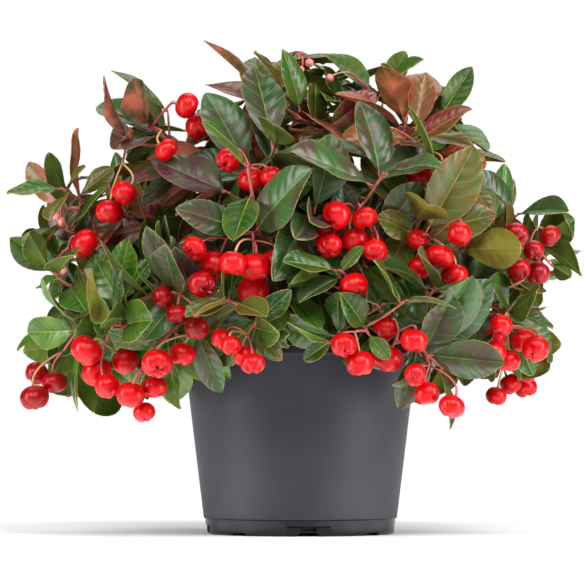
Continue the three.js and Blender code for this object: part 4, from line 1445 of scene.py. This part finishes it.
old_wood, young_wood = Gathered(), Gathered()
for mass in masses:
    for number, wood in enumerate(mass["wood"]):
        bend, looks, start = wood["bend"], WOOD_LOOKS[wood["kind"]], 0
        draw = stream(mass["index"], number, 7)
        if wood["kind"] == "stem":
            bend = np.array([bend[0] - heading(bend, 0) * INTO_ROOTSTOCK, bend[1], bend[2]])
            old_wood.add(*wood_tube(bend, looks, 0, OLD_SHARE, draw, OLD_RELIEF, flared_foot))
            start = OLD_SHARE - OVERLAP
        young_wood.add(*wood_tube(bend, looks, start, 1, draw, YOUNG_RELIEF, narrowed_tip))
old_wood.make("old_stems", [old_bark], "bark", [f"bough_{mass['name']}" for mass in masses])
young_wood.make("young_twigs", [young_bark], "bark")

# %% Leaf stalks
STALK_SHARES, STALK_RADII, STALK_SIDES = (0, 0.33, 0.66, 1), (0.75, 0.55, 0.5, 0.42), 6
STALK_OVERLAP = 0.03  # of the leaf's length

stalks = Gathered()
for leaf in leaves:
    direction, _, face = leaf["frame"]
    root = leaf["root"]
    blade = root + direction * leaf["size"] * (LEAF["stalk"] + STALK_OVERLAP)
    bend = np.array([root, root + (blade - root) * 0.5 - face * 0.25, blade - face * 0.1])
    stalks.add(*tube(path_on(bend, STALK_SHARES), STALK_RADII, STALK_SIDES))
stalks.make("leaf_stalks", [stalk_skin], "bark")

# %% [markdown]
# ## Rootstock
# Just above the soil all stems meet in a woody knuckle. It starts as a turned form like the solid and is
# pushed in and out by noise, so that it looks gnarled; the same noise, stretched upwards, gives its cracks.

# %% Gnarled rootstock
KNUCKLE_LOW, KNUCKLE_HIGH = (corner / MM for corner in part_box("rootstock"))
KNUCKLE_SIDES = 96
FLARE = ((16.2, 0), (15.2, 0.8), (13.0, 1.9), (11.4, 3.4))  # radius, and height over the foot
HEAD = {"inset": 0.8, "from": -20, "to": 84, "steps": 15}
TOP_DIMPLE = 0.6
MOST_PUSH = 0.8


def gnarl(x, y, height):
    """How far the noise pushes a point of the rootstock outwards, in millimetres."""
    ridge = noise.noise(Vector((x * 0.35, y * 0.35, height * 0.12))) * 1.6
    crack = noise.noise(Vector((x * 1.1, y * 1.1, height * 0.25))) * 0.5
    return min(MOST_PUSH, ridge + crack)


knuckle_section = [(radius, KNUCKLE_LOW.z + rise) for radius, rise in FLARE]
head_radius = ROOTSTOCK["head_radius"] - HEAD["inset"]
for k in range(HEAD["steps"] + 1):
    angle = math.radians(lerp(HEAD["from"], HEAD["to"], k / HEAD["steps"]))
    height = min(KNUCKLE_HIGH.z, ROOTSTOCK["head_height"] + head_radius * math.sin(angle))
    knuckle_section.append((head_radius * math.cos(angle), height))
points = []
for radius, height in knuckle_section:
    for turn in turns_round(KNUCKLE_SIDES):
        x, y = radius * math.cos(turn), radius * math.sin(turn)
        push = 1 + gnarl(x, y, height) / max(radius, 6)
        points.append((x * push, y * push, height))
points += [(0, 0, KNUCKLE_LOW.z), (0, 0, KNUCKLE_HIGH.z - TOP_DIMPLE)]
knuckle, rings = Gathered(), len(knuckle_section)
knuckle.add(points, ring_faces(rings, KNUCKLE_SIDES), closing_fans(rings, KNUCKLE_SIDES))
knuckle.make("gnarled_rootstock", [old_bark], "bark", ["rootstock"])

# %% [markdown]
# ## Berries
# A wintergreen berry is a fleshy calyx round the seed, so five soft lobes meet in a star at its far end, and
# the stalk sits in a dimple. A ball with a bump map would keep a round outline. Here the radius itself is a
# formula of the two angles, so lobes, star and dimple show from every side.

# %% Berry skin
PORE = 0.9  # mm; real pores are finer, and would not show
BERRY_PATCH = 9  # mm


def fruit_skin(name, low_hex, high_hex, pore_depth):
    """Waxy fruit skin: a soft wide highlight over patches of two colours, with fine pores."""
    material, tree, shader, place = patchy_material(
        name, BERRY_PATCH, (low_hex, high_hex), (0.35, 0.65), 3,
        Roughness=0.29, IOR=1.45, Specular_IOR_Level=0.35)
    add_relief(tree, shader, place, PORE, pore_depth, Detail=3.0)
    return material


# the second ripe skin is a darker red, painted shade for the bunches that hang in shade
ripe_skins = [fruit_skin("ripe_berry_skin", "aa0005", "ce000a", 0.02),
              fruit_skin("shaded_berry_skin", "7e0007", "a4000c", 0.02)]
young_skins = [fruit_skin("young_berry_skin", "d8706c", "eab4a4", 0.008)]
# bunches in shade, whose darker skin is painted shade, by their numbers: from 0 in BUNCHES, and from 100
# behind
SHADED_BUNCHES = {7, 17, 21, 121, 125}

# %% The form of a berry
BERRY_RINGS, BERRY_SIDES, LOBES = 16, 30, 5


def berry_points(berry):
    """The skin of one berry: a ball with a dimple, five lobes and a star of creases."""
    draw, radius = berry["draw"], berry["radius"]
    openness, squat = draw(0.35, 1.05) ** 2, draw(0.82, 0.98)
    depths = np.array([draw(0.1, 1.4) for _ in range(LOBES)])
    down = np.linspace(0.0, math.pi, BERRY_RINGS + 2)[1:-1, None]
    turn = turns_round(BERRY_SIDES)[None, :]
    far = np.clip((down - 1.6) / 1.1, 0, 1)
    depth = depths[np.rint(turn / FULL_TURN * LOBES).astype(int) % LOBES]
    from_crease = np.abs((turn / FULL_TURN * LOBES + 0.5) % 1 - 0.5) * FULL_TURN / LOBES
    crease = depth * np.exp(-((from_crease * np.sin(down) / 0.11) ** 2))
    # in turn: the lobes, an uneven girth, the stalk's dimple, the star's mouth, its creases and its lips
    reach = 1 - 0.045 * depth * np.cos(LOBES * turn) * far
    reach = reach + 0.03 * np.sin(2 * turn + 9 * openness) * np.sin(down)
    reach = reach - 0.17 * np.exp(-((down / 0.34) ** 2))
    reach = reach - (0.08 + 0.2 * openness) * np.exp(-(((math.pi - down) / 0.4) ** 2))
    reach = reach - 0.19 * (0.25 + openness) * crease * far**1.2
    reach = reach + 0.05 * openness * np.exp(-(((down - 2.45) / 0.28) ** 2)) * (0.4 - crease)
    turned = turn + draw(0, FULL_TURN)
    local = np.stack(np.broadcast_arrays(
        np.sin(down) * np.cos(turned), np.sin(down) * np.sin(turned), -squat * np.cos(down)), -1)
    axis = berry["axis"]
    side = side_of(axis)
    rows = np.array([side, cross(axis, side), axis])
    points = berry["centre"] + (radius * reach)[..., None] * (local @ rows)
    poles = [berry["centre"] - axis * squat * radius * 0.83,
             berry["centre"] + axis * squat * radius * (0.9 - 0.2 * openness)]
    return np.concatenate([points.reshape(-1, 3), poles])


# %% Berries and their stalks
TAN_STALKS = 0.3  # the share of the berry stalks that are yellow to tan
BERRY_STALK = {"rings": 9, "sides": 7, "radius": 0.5, "swelling": 0.25}  # it swells towards the berry
SHARED_STALK = {"rings": 7, "sides": 8, "foot": 0.75, "end": 0.6}

quads, fans = ring_faces(BERRY_RINGS, BERRY_SIDES), closing_fans(BERRY_RINGS, BERRY_SIDES)
shares = np.linspace(0, 1, BERRY_STALK["rings"])
radii = BERRY_STALK["radius"] + BERRY_STALK["swelling"] * shares**6
fruit_stalks = Gathered()
for name, skins, hung in (("berries", ripe_skins, berries), ("young_berries", young_skins, young_berries)):
    fruit = Gathered()
    for berry in hung:
        # the bunches that hang in shade take the darker skin, which is painted shade
        fruit.add(berry_points(berry), quads, fans, slot=int(berry["bunch"] in SHADED_BUNCHES))
        stalk = tube(path_on(berry["bend"], shares), radii, BERRY_STALK["sides"])
        fruit_stalks.add(*stalk, slot=int(berry["draw"](0, 1) < TAN_STALKS))
    fruit.make(name, skins, "berry")
shares = np.linspace(0, 1, SHARED_STALK["rings"])
radii = lerp(SHARED_STALK["foot"], SHARED_STALK["end"], shares)
bunches_in_use = {berry["bunch"] for berry in berries + young_berries}
for stalk in shared_stalks:
    if stalk["bunch"] in bunches_in_use:
        fruit_stalks.add(*tube(path_on(stalk["bend"], shares), radii, SHARED_STALK["sides"]))
fruit_stalks.make("berry_stalks", [stalk_skin, tan_skin], "bark")

# %% [markdown]
# ## Soil
# Potting soil is peat and bark fines, nearly black when moist. The leaves hide most of it, but it can show
# from above. Its surface is a disc that noise has made uneven, with loose crumbs strewn over it.

# %% Soil body
SOIL_PATCH = 3  # mm
FINES = 1.4  # mm between bark fines
SOIL_LOW, SOIL_HIGH = (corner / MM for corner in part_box("soil"))
SOIL_TOP = 90
SOIL_RINGS, SOIL_SIDES = 30, 96
SOIL_INSET, SOIL_TAPER, EDGE_DROP = 0.4, 1.6, 1.5
HIGHEST_LUMP = 1.2

soil_skin, tree, shader, place = patchy_material(
    "moist_potting_soil", SOIL_PATCH, ("1d1510", "3d2f25"), (0.35, 0.7), 6, Roughness=0.95)
add_relief(tree, shader, place, FINES, 0.8, Detail=6.0)


def soil_height(x, y):
    """The height of the soil's surface, from broad lumps and small ones."""
    broad = noise.noise(Vector((x * 0.12, y * 0.12, 3.1))) * 1.4
    small = noise.noise(Vector((x * 0.5, y * 0.5, 7.7))) * 0.6
    return SOIL_TOP + min(HIGHEST_LUMP, broad + small)


edge = SOIL_HIGH.x - SOIL_INSET
bottom, bottom_radius = SOIL_LOW.z, WAIST - WALL - SOIL_TAPER
turns = turns_round(SOIL_SIDES)
points = [(bottom_radius * math.cos(a), bottom_radius * math.sin(a), bottom) for a in turns]
for k in range(SOIL_RINGS, 0, -1):
    reach = edge * k / SOIL_RINGS
    for a in turns:
        x, y = reach * math.cos(a), reach * math.sin(a)
        points.append((x, y, soil_height(x, y) - (EDGE_DROP if k == SOIL_RINGS else 0)))
points += [(0, 0, bottom), (0, 0, soil_height(0, 0))]
soil = Gathered()
soil.add(points, ring_faces(SOIL_RINGS + 1, SOIL_SIDES), closing_fans(SOIL_RINGS + 1, SOIL_SIDES))
soil.make("soil_body", [soil_skin], "potting_soil", ["soil"])

# %% Soil crumbs
CRUMBS, CRUMB_SEED = 900, 77
CRUMB_SIZE = (0.4, 1.5)
GOLDEN = (1 + math.sqrt(5)) / 2

# a crumb is an icosahedron with each corner pulled in or out
crumb_points = np.array([unit(np.array(p, float)) for p in (
    (-1, GOLDEN, 0), (1, GOLDEN, 0), (-1, -GOLDEN, 0), (1, -GOLDEN, 0), (0, -1, GOLDEN), (0, 1, GOLDEN),
    (0, -1, -GOLDEN), (0, 1, -GOLDEN), (GOLDEN, 0, -1), (GOLDEN, 0, 1), (-GOLDEN, 0, -1), (-GOLDEN, 0, 1))])
crumb_faces = np.array([
    (0, 11, 5), (0, 5, 1), (0, 1, 7), (0, 7, 10), (0, 10, 11), (1, 5, 9), (5, 11, 4), (11, 10, 2), (10, 7, 6),
    (7, 1, 8), (3, 9, 4), (3, 4, 2), (3, 2, 6), (3, 6, 8), (3, 8, 9), (4, 9, 5), (2, 4, 11), (6, 2, 10),
    (8, 6, 7), (9, 8, 1)])
crumbs = Gathered()
draw = stream(CRUMB_SEED)
for _ in range(CRUMBS):
    turn, reach = draw(0, FULL_TURN), math.sqrt(draw(0.07, 1)) * (edge - 3)
    x, y, size = reach * math.cos(turn), reach * math.sin(turn), draw(*CRUMB_SIZE)
    bumps = np.array([[draw(0.6, 1.25)] for _ in crumb_points]) * size
    flat = np.array([draw(0.8, 1.2), draw(0.8, 1.2), draw(0.5, 0.9)])
    crumbs.add(crumb_points * bumps * flat + (x, y, soil_height(x, y) + 0.1 * size), triangles=crumb_faces)
crumbs.make("soil_crumbs", [soil_skin], "potting_soil")
